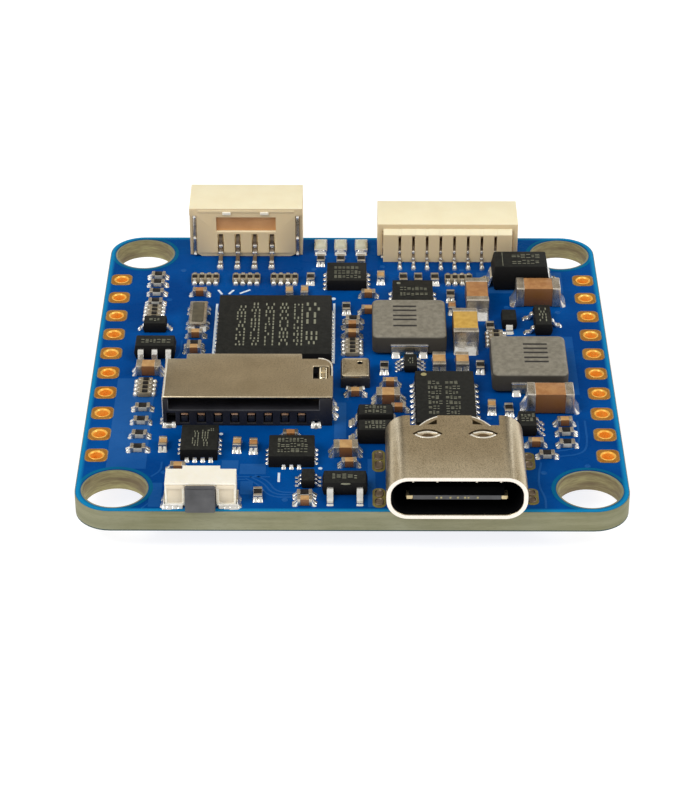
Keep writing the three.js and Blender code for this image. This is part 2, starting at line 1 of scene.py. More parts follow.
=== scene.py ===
# Looks of the flight controller board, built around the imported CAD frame.
# Shapes are drawn in millimetres with z = 0 on the board's top face, and placed in the frame in metres.
import math
import random

import bmesh
import bpy
from mathutils import Matrix, Vector
from mathutils.geometry import tessellate_polygon


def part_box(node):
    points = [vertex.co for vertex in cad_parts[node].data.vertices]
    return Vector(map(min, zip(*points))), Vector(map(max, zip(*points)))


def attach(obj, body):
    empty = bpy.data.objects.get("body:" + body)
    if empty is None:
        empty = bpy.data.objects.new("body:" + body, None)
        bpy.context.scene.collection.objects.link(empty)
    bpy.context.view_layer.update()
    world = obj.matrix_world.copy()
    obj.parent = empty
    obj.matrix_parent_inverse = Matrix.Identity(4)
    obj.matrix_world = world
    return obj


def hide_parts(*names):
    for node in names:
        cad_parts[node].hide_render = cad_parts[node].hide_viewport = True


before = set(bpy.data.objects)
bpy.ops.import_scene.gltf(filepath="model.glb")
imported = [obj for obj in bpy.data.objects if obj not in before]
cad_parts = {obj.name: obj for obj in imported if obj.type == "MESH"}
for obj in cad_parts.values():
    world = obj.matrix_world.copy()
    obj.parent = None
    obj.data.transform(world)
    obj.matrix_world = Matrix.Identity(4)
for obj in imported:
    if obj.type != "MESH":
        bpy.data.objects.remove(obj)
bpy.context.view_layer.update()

MM = 0.001
SIDES = (-1, 1)
LEFT_RIGHT = ((-1, 180), (1, 0))
FILLET_STEPS = 5


def node_box(node):
    """Lowest and highest corner of a CAD node, in millimetres."""
    low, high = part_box(node)
    return low / MM, high / MM


BOARD_TOP = node_box("circuit_board")[1].z
BOARD_HALF = node_box("circuit_board")[1].x


def seat(node):
    """Centre (x, y) and size (x, y, z) of a CAD node that stands on the board."""
    low, high = node_box(node)
    return (low + high).xy / 2, Vector((*(high - low).xy, high.z - BOARD_TOP))


def evenly(count, pitch):
    """Places on a line, centred on 0."""
    return [(i - (count - 1) / 2) * pitch for i in range(count)]


# ------------------------------------------------------------------ outlines
def rounded_ring(width, depth, radius, z, x=0.0, y=0.0, steps=3):
    """A rounded rectangle at height z, counter-clockwise, centred on (x, y)."""
    radius = max(0.0005, min(radius, width / 2 - 0.0002, depth / 2 - 0.0002))
    ring = []
    for side_x, side_y, start in ((1, 1, 0), (-1, 1, 90), (-1, -1, 180), (1, -1, 270)):
        for k in range(steps + 1):
            angle = math.radians(start + 90 * k / steps)
            ring.append((x + side_x * (width / 2 - radius) + radius * math.cos(angle),
                         y + side_y * (depth / 2 - radius) + radius * math.sin(angle), z))
    return ring


def circle(radius, z, x=0.0, y=0.0, count=24, phase=0.0):
    angles = [2 * math.pi * (i + phase) / count for i in range(count)]
    return [(x + radius * math.cos(a), y + radius * math.sin(a), z) for a in angles]


def bar(x, y, width, height):
    return [(x, y), (x + width, y), (x + width, y + height), (x, y + height)]


def lens(width, depth, z, x, y, steps=8):
    """A pointed oval lying flat."""
    shares = [i / steps for i in range(steps)]
    half = [(width * (0.5 - share), depth / 2 * math.sin(math.pi * share) ** 0.8) for share in shares]
    return [(x + side * p[0], y + side * p[1], z) for side in (1, -1) for p in half]


def inset(outline, amount):
    """Moves every side of a counter-clockwise 2D outline inwards."""
    moved, count = [], len(outline)
    for i in range(count):
        before, here, after = (Vector(outline[(i + k) % count]) for k in (-1, 0, 1))
        first, second = (here - before).normalized(), (after - here).normalized()
        normal_a, normal_b = Vector((-first.y, first.x)), Vector((-second.y, second.x))
        moved.append(here + (normal_a + normal_b) * (amount / max(0.25, 1 + normal_a.dot(normal_b))))
    return moved


def smooth_path(points, rounds=2):
    """Cuts the corners of an open path, keeping its ends."""
    path = [Vector(p) for p in points]
    for _ in range(rounds):
        cut = [p for a, b in zip(path, path[1:]) for p in (a.lerp(b, 0.25), a.lerp(b, 0.75))]
        path = [path[0], *cut, path[-1]]
    return path


def ribbon(points, width):
    """The outline of a band that follows an open 2D path."""
    points = [Vector(p) for p in points]
    left, right = [], []
    for i, here in enumerate(points):
        along = (points[min(len(points) - 1, i + 1)] - points[max(0, i - 1)]).normalized()
        normal = Vector((-along.y, along.x)) * width / 2
        left.append(here + normal)
        right.append(here - normal)
    return right + left[::-1]


def band(points, width):
    return ribbon(smooth_path(points), width)


def turned(x, y, degrees=0.0, z=0.0):
    return Matrix.Translation((x, y, z)) @ Matrix.Rotation(math.radians(degrees), 4, "Z")


# ------------------------------------------------------------------ solids
class Shape:
    """Collects closed solids in millimetres, each with its own material slot."""

    def __init__(self):
        self.points, self.faces, self.slots = [], [], []

    def add(self, points, faces, slot=0, place=None):
        start = len(self.points)
        self.points += [place @ Vector(p) if place else Vector(p) for p in points]
        self.faces += [[start + i for i in face] for face in faces]
        self.slots += [slot] * len(faces)

    def loft(self, rings, slot=0, place=None, closed=False):
        """Joins rings of equally many points. A closed loft joins the last ring to the first."""
        count, size = len(rings), len(rings[0])
        faces = []
        for k in range(count if closed else count - 1):
            low, high = k * size, ((k + 1) % count) * size
            for i in range(size):
                j = (i + 1) % size
                faces.append([low + i, low + j, high + j, high + i])
        if not closed:
            faces += [list(range(size))[::-1], [(count - 1) * size + i for i in range(size)]]
        self.add([p for ring in rings for p in ring], faces, slot, place)

    def stack(self, width, depth, radius, levels, x=0.0, y=0.0, slot=0, place=None, steps=3, tighten=0.0):
        """Rounded rectangles above one another. Each level is (how far its sides are pulled in, height)."""
        self.loft([rounded_ring(width - 2 * pull, depth - 2 * pull, radius - tighten * pull, z, x, y, steps)
                   for pull, z in levels], slot, place)

    def spin(self, profile, x=0.0, y=0.0, count=24, slot=0, closed=False):
        """A round solid on an upright axis. The profile is a list of (radius, height)."""
        self.loft([circle(radius, z, x, y, count) for radius, z in profile], slot, closed=closed)

    def box(self, low, high):
        """A box with sharp edges."""
        self.loft([[(low[0], low[1], z), (high[0], low[1], z), (high[0], high[1], z), (low[0], high[1], z)]
                   for z in (low[2], high[2])])

    def block(self, low, high, bevel=0.03, corner=0.03, slot=0, place=None, steps=2):
        """A box with rounded upright edges and rounded top and bottom edges."""
        turns = [math.radians(90 * k / steps) for k in range(steps + 1)]
        levels = [(bevel * (1 - math.sin(t)), low[2] + bevel * (1 - math.cos(t))) for t in turns]
        levels += [(bevel * (1 - math.cos(t)), high[2] - bevel * (1 - math.sin(t))) for t in turns]
        self.stack(high[0] - low[0], high[1] - low[1], corner, levels, (low[0] + high[0]) / 2,
                   (low[1] + high[1]) / 2, slot, place, tighten=1.0)

    def prism(self, outline, start, end, axis, bevel=0.0, slot=0, place=None):
        """Extrudes a counter-clockwise 2D outline along an axis, with its end edges cut back."""
        spans = [(start, 0.0), (end, 0.0)]
        if bevel:
            spans = [(start, bevel), (start + bevel, 0.0), (end - bevel, 0.0), (end, bevel)]
        raise_point = {"x": lambda p, a: (a, p[0], p[1]), "y": lambda p, a: (p[0], a, p[1]),
                       "z": lambda p, a: (p[0], p[1], a)}[axis]
        self.loft([[raise_point(p, along) for p in (inset(outline, pull) if pull else outline)]
                   for along, pull in spans], slot, place)

    def plate(self, outer, holes, bottom, top, slot=0):
        """A flat sheet between two heights with openings through it."""
        loops = [[Vector((p[0], p[1], 0)) for p in loop] for loop in (outer, *holes)]
        flat = [p for loop in loops for p in loop]
        size, start, faces = len(flat), 0, []
        for tri in tessellate_polygon(loops):
            faces += [list(tri), [i + size for i in reversed(tri)]]
        for loop in loops:
            for i in range(len(loop)):
                a, b = start + i, start + (i + 1) % len(loop)
                faces.append([a, b, b + size, a + size])
            start += len(loop)
        self.add([(p.x, p.y, z) for z in (bottom, top) for p in flat], faces, slot)

    def package(self, width, depth, height, lift, draft, corner, bevel):
        """A moulded chip body: full size at its parting line and drafted above and below it."""
        middle = lift + (height - lift) * 0.45
        self.stack(width, depth, corner, [(draft, lift), (0.0, middle), (draft, height - bevel),
                                          (draft + bevel * 0.3, height - bevel * 0.35), (draft + bevel, height)])

    def fillet(self, x, y, turn, width, reach, height, slot=0, ahead=0.0):
        """Solder that climbs a face at (x, y) and spreads in the direction of turn in a hollow curve."""
        rings, back = [], 0.05
        for k in range(FILLET_STEPS + 1):
            rise = k / FILLET_STEPS
            spread = reach * (1 - rise) ** 2
            out, half = spread + 0.012, width / 2 + 0.22 * spread
            rings.append(rounded_ring(out + back, 2 * half, min(out, half) * 0.55, height * rise, (out - back) / 2))
        self.loft(rings, slot, turned(x, y, turn) @ Matrix.Translation((ahead, 0, 0)))

    def lead(self, x, y, turn, width, reach, lift, thickness, foot, slot=2):
        """A gull-wing lead that leaves a body at (x, y) in the direction of turn and stands on the board."""
        middle, ankle = thickness / 2, reach - foot
        path = [(-0.15, lift), (max(0.05, ankle * 0.45), lift), (ankle, middle), (reach, middle)]
        self.prism(band(path, thickness), -width / 2, width / 2, "y", 0.02, slot, turned(x, y, turn))


def linked(name, data):
    made = bpy.data.objects.new(name, data)
    bpy.context.scene.collection.objects.link(made)
    return made


def plain_object(name, points, faces, recalculate=True):
    """A mesh object that rides on nothing yet. Its faces are made to look outwards."""
    mesh = bpy.data.meshes.new(name)
    mesh.from_pydata(points, [], faces)
    if recalculate:
        tidy = bmesh.new()
        tidy.from_mesh(mesh)
        bmesh.ops.recalc_face_normals(tidy, faces=tidy.faces)
        tidy.to_mesh(mesh)
        tidy.free()
    return linked(name, mesh)


def make_piece(name, shape, looks, nodes="", body="board", at=(0, 0), turn=0.0, smooth=38):
    """Turns a shape into an object that rides on a CAD body and stands for the CAD nodes that are named."""
    place = turned(*at, turn, BOARD_TOP)
    piece = plain_object(name, [(place @ p) * MM for p in shape.points], shape.faces)
    for look in looks:
        piece.data.materials.append(look)
    piece.data.polygons.foreach_set("material_index", shape.slots)
    piece.data.shade_smooth()
    piece.data.set_sharp_from_angle(angle=math.radians(smooth))
    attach(piece, body)
    if nodes:
        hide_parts(*nodes.split())
    return piece


def baked(target, cuts, bevel=0.0, segments=2):
    """The mesh that is left of an object after (operation, helper object) cuts and a bevel."""
    for operation, helper in cuts:
        modifier = target.modifiers.new(helper.name, "BOOLEAN")
        modifier.operation, modifier.object, modifier.solver = operation, helper, "EXACT"
    if bevel:
        soften = target.modifiers.new("soften", "BEVEL")
        soften.width, soften.segments = bevel, segments
        soften.limit_method, soften.angle_limit = "ANGLE", math.radians(30)
    mesh = bpy.data.meshes.new_from_object(target.evaluated_get(bpy.context.evaluated_depsgraph_get()))
    target.modifiers.clear()
    for _, helper in cuts:
        bpy.data.objects.remove(helper)
    return mesh


def carved_shape(name, solids, tools, bevel, segments=2):
    """Joins solid boxes, cuts the tool boxes out and rounds the edges."""

    def helper(low, high):
        block = Shape()
        block.box(low, high)
        return plain_object(name, block.points, block.faces, recalculate=False)

    body = helper(*solids[0])
    cuts = [("UNION", helper(*item)) for item in solids[1:]] + [("DIFFERENCE", helper(*item)) for item in tools]
    mesh = baked(body, cuts, bevel, segments)
    bpy.data.objects.remove(body)
    shape = Shape()
    shape.add([v.co for v in mesh.vertices], [list(p.vertices) for p in mesh.polygons])
    bpy.data.meshes.remove(mesh)
    return shape


def cut_from(piece, tool, name, smooth=38):
    """Subtracts a shape from a piece for good."""
    helper = plain_object(name, [(p + Vector((0, 0, BOARD_TOP))) * MM for p in tool.points], tool.faces)
    piece.data = baked(piece, [("DIFFERENCE", helper)])
    piece.data.set_sharp_from_angle(angle=math.radians(smooth))


def slab(x, half, front, back, low, high):
    """A box that is half wide to either side of x, for carved_shape."""
    return (x - half, front, low), (x + half, back, high)


def pair(x, near, far, front, back, low, high):
    """Two boxes at equal distances to the left and right of x."""
    return [((x - far, front, low), (x - near, back, high)), ((x + near, front, low), (x + far, back, high))]


# ------------------------------------------------------------------ materials
def srgb(*colour):
    """A display colour of 0 to 255 as linear light."""
    shares = [value / 255 for value in colour]
    return (*[v / 12.92 if v <= 0.04045 else ((v + 0.055) / 1.055) ** 2.4 for v in shares], 1.0)


class Nodes:
    """A shader node tree that is built from its inputs outwards."""

    def __init__(self, tree):
        self.tree = tree
        tree.nodes.clear()

    def node(self, kind, inputs, output=None, **settings):
        """Adds a node. Each input is a plain value or the output that feeds it."""
        made = self.tree.nodes.new("ShaderNode" + kind)
        for key, value in settings.items():
            setattr(made, key, value)
        for label, value in inputs.items():
            if isinstance(value, bpy.types.NodeSocket):
                self.tree.links.new(value, made.inputs[label])
            else:
                made.inputs[label].default_value = value
        return made if output is None else made.outputs[output]

    def math(self, operation, *values):
        return self.node("Math", dict(enumerate(values)), 0, operation=operation)

    def span(self, value, low, high, start, end, interpolation="LINEAR"):
        inputs = {"Value": value, "From Min": low, "From Max": high, "To Min": start, "To Max": end}
        return self.node("MapRange", inputs, "Result", interpolation_type=interpolation)

    def blend(self, factor, first, second):
        return self.node("Mix", {0: factor, 6: first, 7: second}, 2, data_type="RGBA")

    def axes(self, vector):
        return self.node("SeparateXYZ", {"Vector": vector}).outputs


class Look(Nodes):
    """A node material around one Principled shader."""

    def __init__(self, name, roughness, metallic=0.0, specular=0.5):
        self.material = bpy.data.materials.new(name)
        self.material.use_nodes = True
        super().__init__(self.material.node_tree)
        self.shader = self.node("BsdfPrincipled", {"Roughness": roughness, "Metallic": metallic,
                                                   "Specular IOR Level": specular})
        self.node("OutputMaterial", {"Surface": self.shader.outputs["BSDF"]})
        self.place = self.node("TexCoord", {}, "Object")
        self.normal = {}

    def noise(self, size_mm, detail=3.0, stretch=(1, 1, 1)):
        place = self.node("Mapping", {"Vector": self.place, "Scale": stretch}, "Vector")
        return self.node("TexNoise", {"Vector": place, "Scale": 1 / (size_mm * MM), "Detail": detail}, "Fac")

    def feed(self, label, value):
        self.tree.links.new(value, self.shader.inputs[label])

    def painted_shade_on_sides(self, top, side):
        """Faces that don't look up take another colour: painted shade on the sides."""
        facing = self.axes(self.node("NewGeometry", {}, "Normal"))["Z"]
        return self.blend(self.span(facing, 0.35, 0.8, 1.0, 0.0), top, side)

    def bump(self, height, depth_um, strength=1.0):
        inputs = {"Strength": strength, "Distance": depth_um * 1e-6, "Height": height, **self.normal}
        self.normal = {"Normal": self.node("Bump", inputs, "Normal")}
        self.feed("Normal", self.normal["Normal"])


def grained(name, light, dark, roughness, grain_mm, bump_um, stretch=(1, 1, 1), spread=0.08, side=None, **options):
    """The common look: two close colours mixed by a grain, with uneven roughness and a fine bump."""
    look = Look(name, roughness, **options)
    light, dark = srgb(*light), srgb(*dark)
    broad = look.noise(grain_mm * 8, 3.0, stretch)
    fine = look.noise(grain_mm, 4.0, stretch)
    mixed = look.blend(look.span(broad, 0.35, 0.65, 0.0, 1.0), light, dark)
    mixed = look.blend(look.span(fine, 0.3, 0.7, 0.0, 0.6), mixed, dark)
    # A side colour, where given, is painted shade on the faces that don't look up.
    look.feed("Base Color", look.painted_shade_on_sides(mixed, srgb(*side)) if side else mixed)
    look.feed("Roughness", look.span(fine, 0.3, 0.7, max(0.02, roughness - spread), roughness + spread))
    look.bump(fine, bump_um)
    return look.material


def mask_look(name, light, dark, edge):
    """Glossy solder mask over glass weave. It is lighter in a band along the board's rim."""
    look = Look(name, 0.3, specular=0.02)
    light, dark, edge = srgb(*light), srgb(*dark), srgb(*edge)
    # The distance outwards from the centre of the nearest rounded corner, or 0 between the corners.
    corner, place, past = CORNER * MM, look.axes(look.place), {}
    for axis in "XY":
        away = look.math("SUBTRACT", look.math("ABSOLUTE", place[axis]), BOARD_HALF * MM - corner)
        past[axis] = look.math("MAXIMUM", away, 0.0)
    length = look.node("VectorMath", {0: look.node("CombineXYZ", past, 0)}, "Value", operation="LENGTH")
    rim = look.span(length, corner - 0.42 * MM, corner - 0.18 * MM, 0.0, 1.0)
    cloud = look.noise(0.9, 3.0)
    mixed = look.blend(look.span(look.noise(5.0, 2.0), 0.4, 0.6, 0.0, 1.0), light, dark)
    mixed = look.blend(look.span(cloud, 0.3, 0.7, 0.0, 0.35), mixed, dark)
    look.feed("Base Color", look.blend(rim, mixed, edge))
    weave = [look.node("TexWave", {"Vector": look.place, "Scale": 0.31 / (WEAVE_PITCH * MM), "Distortion": 0.6},
                       "Fac", wave_type="BANDS", bands_direction=axis) for axis in "XY"]
    look.bump(look.math("ADD", *weave), 1.2, 0.5)
    look.bump(look.noise(0.25, 3.0), 1.6, 0.6)
    look.feed("Roughness", look.span(cloud, 0.3, 0.7, 0.22, 0.36))
    return look.material


def laminate_look():
    """Glass-epoxy seen on its cut edge: faint layers with a few darker strands."""
    look = Look("laminate", 0.6, specular=0.25)
    layers = look.noise(1.6, 3.0, (0.3, 0.3, 5.0))
    strands = look.noise(0.2, 4.0, (0.6, 0.6, 3.0))
    mixed = look.blend(look.span(layers, 0.35, 0.65, 0.0, 1.0), srgb(140, 138, 108), srgb(122, 121, 90))
    mixed = look.blend(look.span(look.noise(4.0, 2.0), 0.35, 0.65, 0.0, 0.6), mixed, srgb(150, 150, 126))
    look.feed("Base Color", look.blend(look.span(strands, 0.5, 0.8, 0.0, 0.45), mixed, srgb(112, 110, 82)))
    look.bump(strands, 8)
    return look.material


def steel_look(name, light, dark, roughness, grain_mm=0.05):
    """Nickel-plated sheet with a fine sandy grain and faint clouds."""
    look = Look(name, roughness, metallic=1.0)
    light, dark = srgb(*light), srgb(*dark)
    grain = look.noise(grain_mm, 3.0)
    mixed = look.blend(look.span(look.noise(1.6, 3.0), 0.3, 0.7, 0.2, 0.6), light, dark)
    mixed = look.blend(look.span(look.noise(grain_mm * 2.2, 2.0), 0.46, 0.6, 0.0, 0.55), mixed, dark)
    look.feed("Base Color", look.blend(look.span(grain, 0.5, 0.62, 0.0, 0.8), mixed, light))
    look.feed("Roughness", look.span(grain, 0.3, 0.7, roughness - 0.05, roughness + 0.08))
    look.bump(grain, 4.0, 0.7)
    look.bump(look.noise(0.5, 2.0), 2.0, 0.5)
    return look.material


def plastic_look(name, light, dark, roughness, grain_mm=0.05, bump_um=2.0, glow=0.0, side=None):
    """Moulded plastic with a fine spark-eroded grain."""
    look = Look(name, roughness)
    fine = look.noise(grain_mm, 4.0)
    mixed = look.blend(look.span(look.noise(1.4, 3.0), 0.3, 0.7, 0.0, 1.0), srgb(*light), srgb(*dark))
    # A side colour, where given, is painted shade on the faces that don't look up.
    look.feed("Base Color", look.painted_shade_on_sides(mixed, srgb(*side)) if side else mixed)
    look.feed("Roughness", look.span(fine, 0.3, 0.7, roughness - 0.08, roughness + 0.08))
    look.bump(fine, bump_um)
    if glow:
        look.shader.inputs["Subsurface Weight"].default_value = glow
        look.shader.inputs["Subsurface Radius"].default_value = (0.6 * MM, 0.45 * MM, 0.25 * MM)
        look.shader.inputs["Subsurface Scale"].default_value = 1.0
    return look.material


CORNER = 2.4
WEAVE_PITCH = 0.45
MASK = mask_look("solder_mask", (2, 78, 152), (0, 62, 130), (20, 128, 180))
MASK_COPPER = mask_look("solder_mask_over_copper", (36, 92, 158), (22, 80, 146), (34, 134, 182))
MASK_RING = mask_look("solder_mask_ring", (8, 104, 144), (4, 88, 128), (20, 132, 184))
MASK_UNDER = mask_look("solder_mask_underside", (2, 70, 136), (0, 56, 118), (52, 76, 78))
LAMINATE = laminate_look()
# name, light and dark colour, roughness, size of the grain in mm, height of the bump in micrometres; side is a
# painted-shade colour for faces that don't look up
BORE = grained("bore_wall", (172, 164, 112), (112, 96, 66), 0.6, 0.5, 6.0, stretch=(1.0, 1.0, 7.0))
GOLD = grained("gold_plate", (246, 184, 92), (222, 150, 60), 0.3, 0.12, 3.0, metallic=0.9)
# The barrel is a lighter, less metallic copy of the gold plating: gold with a painted reflection that makes each hole's
# far wall read bright.
BARREL = grained("gold_barrel_with_painted_reflection", (255, 210, 104), (255, 180, 62), 0.3, 0.08, 6.0, metallic=0.3)
SOLDER = grained("solder_and_highlights", (255, 253, 248), (226, 222, 212), 0.16, 0.12, 8.0, metallic=0.8, spread=0.05)
TIN = grained("tin_plate", (226, 218, 204), (186, 176, 158), 0.3, 0.06, 3.0, metallic=0.9)
TIN_DARK = grained("tin_shadowed", (150, 132, 110), (104, 90, 76), 0.35, 0.06, 3.0, metallic=0.6)
TIN_WARM = grained("tin_plate_warm", (226, 208, 166), (190, 170, 128), 0.3, 0.06, 3.0, metallic=0.85)
# The side colours of these ceramics are painted shade.
TAN = grained("ceramic_tan", (204, 164, 108), (178, 134, 82), 0.42, 0.05, 2.0, side=(128, 84, 46))
BROWN = grained("ceramic_brown", (188, 138, 86), (160, 108, 60), 0.42, 0.05, 2.0, side=(118, 76, 36))
YELLOW = grained("ceramic_yellow", (216, 176, 84), (190, 146, 58), 0.42, 0.05, 2.0, side=(150, 110, 50))
RESISTOR = grained("resistor_glaze", (34, 30, 28), (18, 16, 15), 0.4, 0.08, 2.5, specular=0.3)
ARRAY_BODY = grained("array_body", (168, 156, 130), (128, 116, 92), 0.5, 0.05, 2.0)
ALUMINA = grained("alumina", (212, 210, 200), (176, 174, 164), 0.5, 0.05, 2.0)
# The mould's side colour is painted shade.
MOULD = grained("chip_mould", (41, 41, 37), (29, 29, 26), 0.6, 0.035, 3.5, specular=0.14, side=(22, 21, 20))
MARK = grained("laser_mark", (150, 150, 128), (120, 120, 100), 0.6, 0.04, 2.0)
# Gold marks and contacts. On the transistor's leads it is a painted reflection.
GOLD_MARK_AND_LEAD_REFLECTION = grained("pin_one_mark", (176, 166, 118), (150, 138, 92), 0.5, 0.04, 2.0)
# The core's side colour is painted shade.
FERRITE = grained("pressed_core", (146, 140, 124), (118, 112, 98), 0.5, 0.04, 6.0, side=(62, 58, 51), specular=0.35)
INK = grained("core_mark", (46, 43, 38), (32, 29, 26), 0.6, 0.04, 1.0)
SILK = grained("silkscreen", (240, 246, 250), (206, 220, 232), 0.6, 0.05, 3.0)
# A near-white look for thin strips along metal edges: a painted highlight.
PAINTED_EDGE_HIGHLIGHT = grained("painted_edge_highlight", (252, 248, 238), (226, 218, 200), 0.25, 0.05, 2.0, metallic=0.25)
# A brown metal look for the middle of the USB spring tabs: a painted reflection.
BROWN_TAB_REFLECTION = grained("tab_centre_painted_reflection", (112, 86, 50), (80, 60, 34), 0.4, 0.05, 3.0, metallic=0.3)
COPPER = grained("window_contact", (232, 190, 150), (200, 150, 110), 0.35, 0.06, 3.0, metallic=0.3)
OLIVE = grained("bare_gold_ring", (150, 138, 72), (112, 104, 50), 0.45, 0.08, 3.0, metallic=0.4)
CRYSTAL_LID = grained("crystal_lid", (112, 104, 84), (88, 82, 66), 0.4, 0.05, 2.0, metallic=0.3)
# Near-black: the USB insulator, and painted shade inside the USB shell and the sensor's port.
BLACK_AND_PAINTED_SHADE = grained("black_plastic_and_painted_shade", (7, 7, 8), (3, 3, 4), 0.9, 0.06, 2.0, specular=0.05)
STEEL = steel_look("nickel_shell", (232, 216, 184), (168, 152, 120), 0.3)
# A lighter copy of the nickel. On the USB shell's front lip it is a painted highlight; on the button dome it is plain
# bright steel.
STEEL_BRIGHT = steel_look("nickel_edge", (252, 244, 234), (238, 226, 212), 0.25)
STEEL_SPRING = steel_look("spring_steel", (250, 240, 222), (210, 190, 150), 0.16)
SPRING_WARM = steel_look("spring_warm", (255, 244, 214), (236, 214, 168), 0.22)
# The cream plastic's side colour is painted shade.
CREAM = plastic_look("cream_plastic", (247, 236, 200), (243, 230, 192), 0.5, glow=0.08, side=(232, 208, 164))
BUTTON_CREAM = plastic_look("button_plastic", (250, 243, 226), (243, 234, 212), 0.5, glow=0.12)
BUTTON_PANEL = plastic_look("button_panel", (236, 222, 196), (222, 206, 178), 0.5)
# Grey plastic for the plunger and the tongue's nose. On the card slot's rim it is a painted highlight.
GREY_AND_EDGE_HIGHLIGHT = plastic_look("grey_plastic_and_edge_highlight", (88, 88, 90), (58, 58, 60), 0.65, 0.07, 10.0)
BLACK = plastic_look("black_plastic", (34, 33, 38), (22, 21, 26), 0.5, 0.06, 4.0)
# An orange-tan plastic look: painted shade for the cream plastic seen inside a window.
CREAM_IN_PAINTED_SHADE = plastic_look("cream_plastic_in_painted_shade", (222, 166, 112), (198, 142, 90), 0.5)
LENS = plastic_look("led_lens", (212, 210, 188), (194, 192, 168), 0.35, 0.05, 1.0, glow=0.12)


# ------------------------------------------------------------------ the bare board
HOLE_AT = 30.5 / 2
HOLE_RADIUS = 2.05
PAD_X = 16.72
PAD_ROWS = evenly(10, 2.54)
PAD_SIZE = (1.38, 1.42)
DRILL_RADIUS = 0.5
MASK_THICK = 0.03
MASK_EDGE = 0.08
RELIEF = 0.014
INK_THICK = 0.022
HOLES = [(side * HOLE_AT, end * HOLE_AT) for side in SIDES for end in SIDES]
PADS = [(side * PAD_X, y) for side in SIDES for y in PAD_ROWS]


def board_rim(pull):
    return rounded_ring(2 * (BOARD_HALF - pull), 2 * (BOARD_HALF - pull), CORNER - pull, 0, steps=10)


def hole_circles(grow):
    return [circle(HOLE_RADIUS + grow, 0, *hole, 56) for hole in HOLES]


def make_bare_board():
    core = Shape()
    drills = [circle(DRILL_RADIUS, 0, *pad, 20) for pad in PADS]
    core.plate(board_rim(0), hole_circles(0) + drills, MASK_EDGE - BOARD_TOP, -MASK_THICK)
    for i, face in enumerate(core.faces):
        middle = sum((core.points[k] for k in face), Vector()) / len(face)
        near = min(math.dist(middle.xy, hole) for hole in HOLES)
        core.slots[i] = int(len(face) == 4 and near < HOLE_RADIUS + 0.01)
    make_piece("board_laminate", core, [LAMINATE, BORE], "circuit_board")
    gap = 0.16
    openings = hole_circles(0.13)
    openings += [rounded_ring(PAD_SIZE[0] + gap, PAD_SIZE[1] + gap, 0.42, 0, *pad) for pad in PADS]
    for name, bottom, top, pull, look in (("top", -MASK_THICK, 0, 0.05, MASK),
                                          ("bottom", -BOARD_TOP, MASK_EDGE - BOARD_TOP, 0, MASK_UNDER)):
        mask = Shape()
        mask.plate(board_rim(pull), openings, bottom, top)
        make_piece(f"solder_mask_{name}", mask, [look])
    rings = Shape()
    for outer, inner in zip(hole_circles(0.42), hole_circles(0.17)):
        rings.plate(outer, [inner], 0, RELIEF)
    make_piece("hole_rings", rings, [MASK_RING])


def make_edge_pads():
    """Each pad is one plated rivet: a flange above, a barrel through the board and a flange below."""
    (width, depth), under = PAD_SIZE, -BOARD_TOP
    barrel = [(0.54, 0.03), (0.51, 0.052), (0.46, 0.045), (0.4, -0.03), (0.4, under), (0.44, under - 0.03),
              (0.52, under - 0.03), (0.52, under), (0.49, under + 0.05), (0.49, -0.03)]
    for side, label in zip(SIDES, ("left", "right")):
        pads, x = Shape(), side * PAD_X
        for y in PAD_ROWS:
            for bottom, top in ((-0.02, 0.035), (under - 0.02, under + 0.01)):
                pads.plate(rounded_ring(width, depth, 0.35, 0, x, y, 5), [circle(0.47, 0, x, y, 28)], bottom, top)
            pads.plate(rounded_ring(width + 0.12, depth + 0.12, 0.4, 0, x, y, 5),
                       [rounded_ring(width - 0.02, depth - 0.02, 0.34, 0, x, y, 5)], -0.02, 0.012, 2)
            # The barrel's lighter gold is partly a painted reflection.
            pads.spin(barrel, x, y, 28, 1, closed=True)
        make_piece(f"edge_pads_{label}", pads, [GOLD, BARREL, TIN_WARM])


# Raised copper under the mask. Pours are (x, y, width, height), traces (path, width).
POURS = [(-16.0, -13.0, 2.6, 11.0), (-13.0, -17.3, 0.8, 2.7), (-8.5, -13.2, 1.1, 1.2), (-7.3, -13.6, 1.7, 1.2),
         (-7.2, -15.9, 0.8, 1.5), (-1.2, -9.4, 0.8, 4.4), (1.0, -17.3, 0.5, 5.5), (9.0, 9.6, 6.2, 3.0),
         (14.2, -4.0, 1.2, 7.6)]
TRACES = [
    ([(-6.3, -13.7), (-5.4, -14.4), (-4.9, -15.6), (-3.5, -15.7)], 0.13),
    ([(-6.6, -13.9), (-5.7, -14.6), (-5.1, -15.9), (-3.5, -15.95)], 0.13),
    ([(-6.9, -14.1), (-6.0, -14.8), (-5.3, -16.2), (-3.5, -16.2)], 0.13),
    ([(12.3, -12.2), (12.05, -13.6), (12.0, -15.0), (12.35, -16.2), (12.3, -17.4)], 0.14),
    ([(15.0, -7.2), (15.0, -9.6), (14.6, -10.6), (13.2, -10.9)], 0.14),
    ([(15.5, -7.2), (15.5, -10.2), (15.0, -11.2), (13.4, -11.5)], 0.14),
    ([(-13.4, -17.5), (-12.5, -16.2)], 0.12),
    ([(-12.6, -4.0), (-12.6, 0.0), (-11.9, 1.0), (-11.9, 3.0)], 0.12),
    ([(-12.4, -12.2), (-12.4, -13.2), (-13.0, -13.9)], 0.13),
    ([(-8.3, -13.9), (-5.3, -13.9)], 0.13),
    ([(-8.3, -14.2), (-6.9, -14.2)], 0.13),
]
VIAS = [(-15.3, -8.6), (-15.3, -10.6), (1.0, -15.0), (-4.3, -16.5), (12.4, -13.4),
        (15.3, -12.6), (-12.2, -13.4), (2.2, 13.4), (-2.8, 13.0), (15.2, -6.0), (-8.9, -12.9), (8.0, 12.9),
        (-12.3, 12.8), (11.0, 7.6), (2.4, 6.6), (-13.1, 8.6), (9.15, -6.9), (14.6, 6.9), (-6.4, -9.7)]
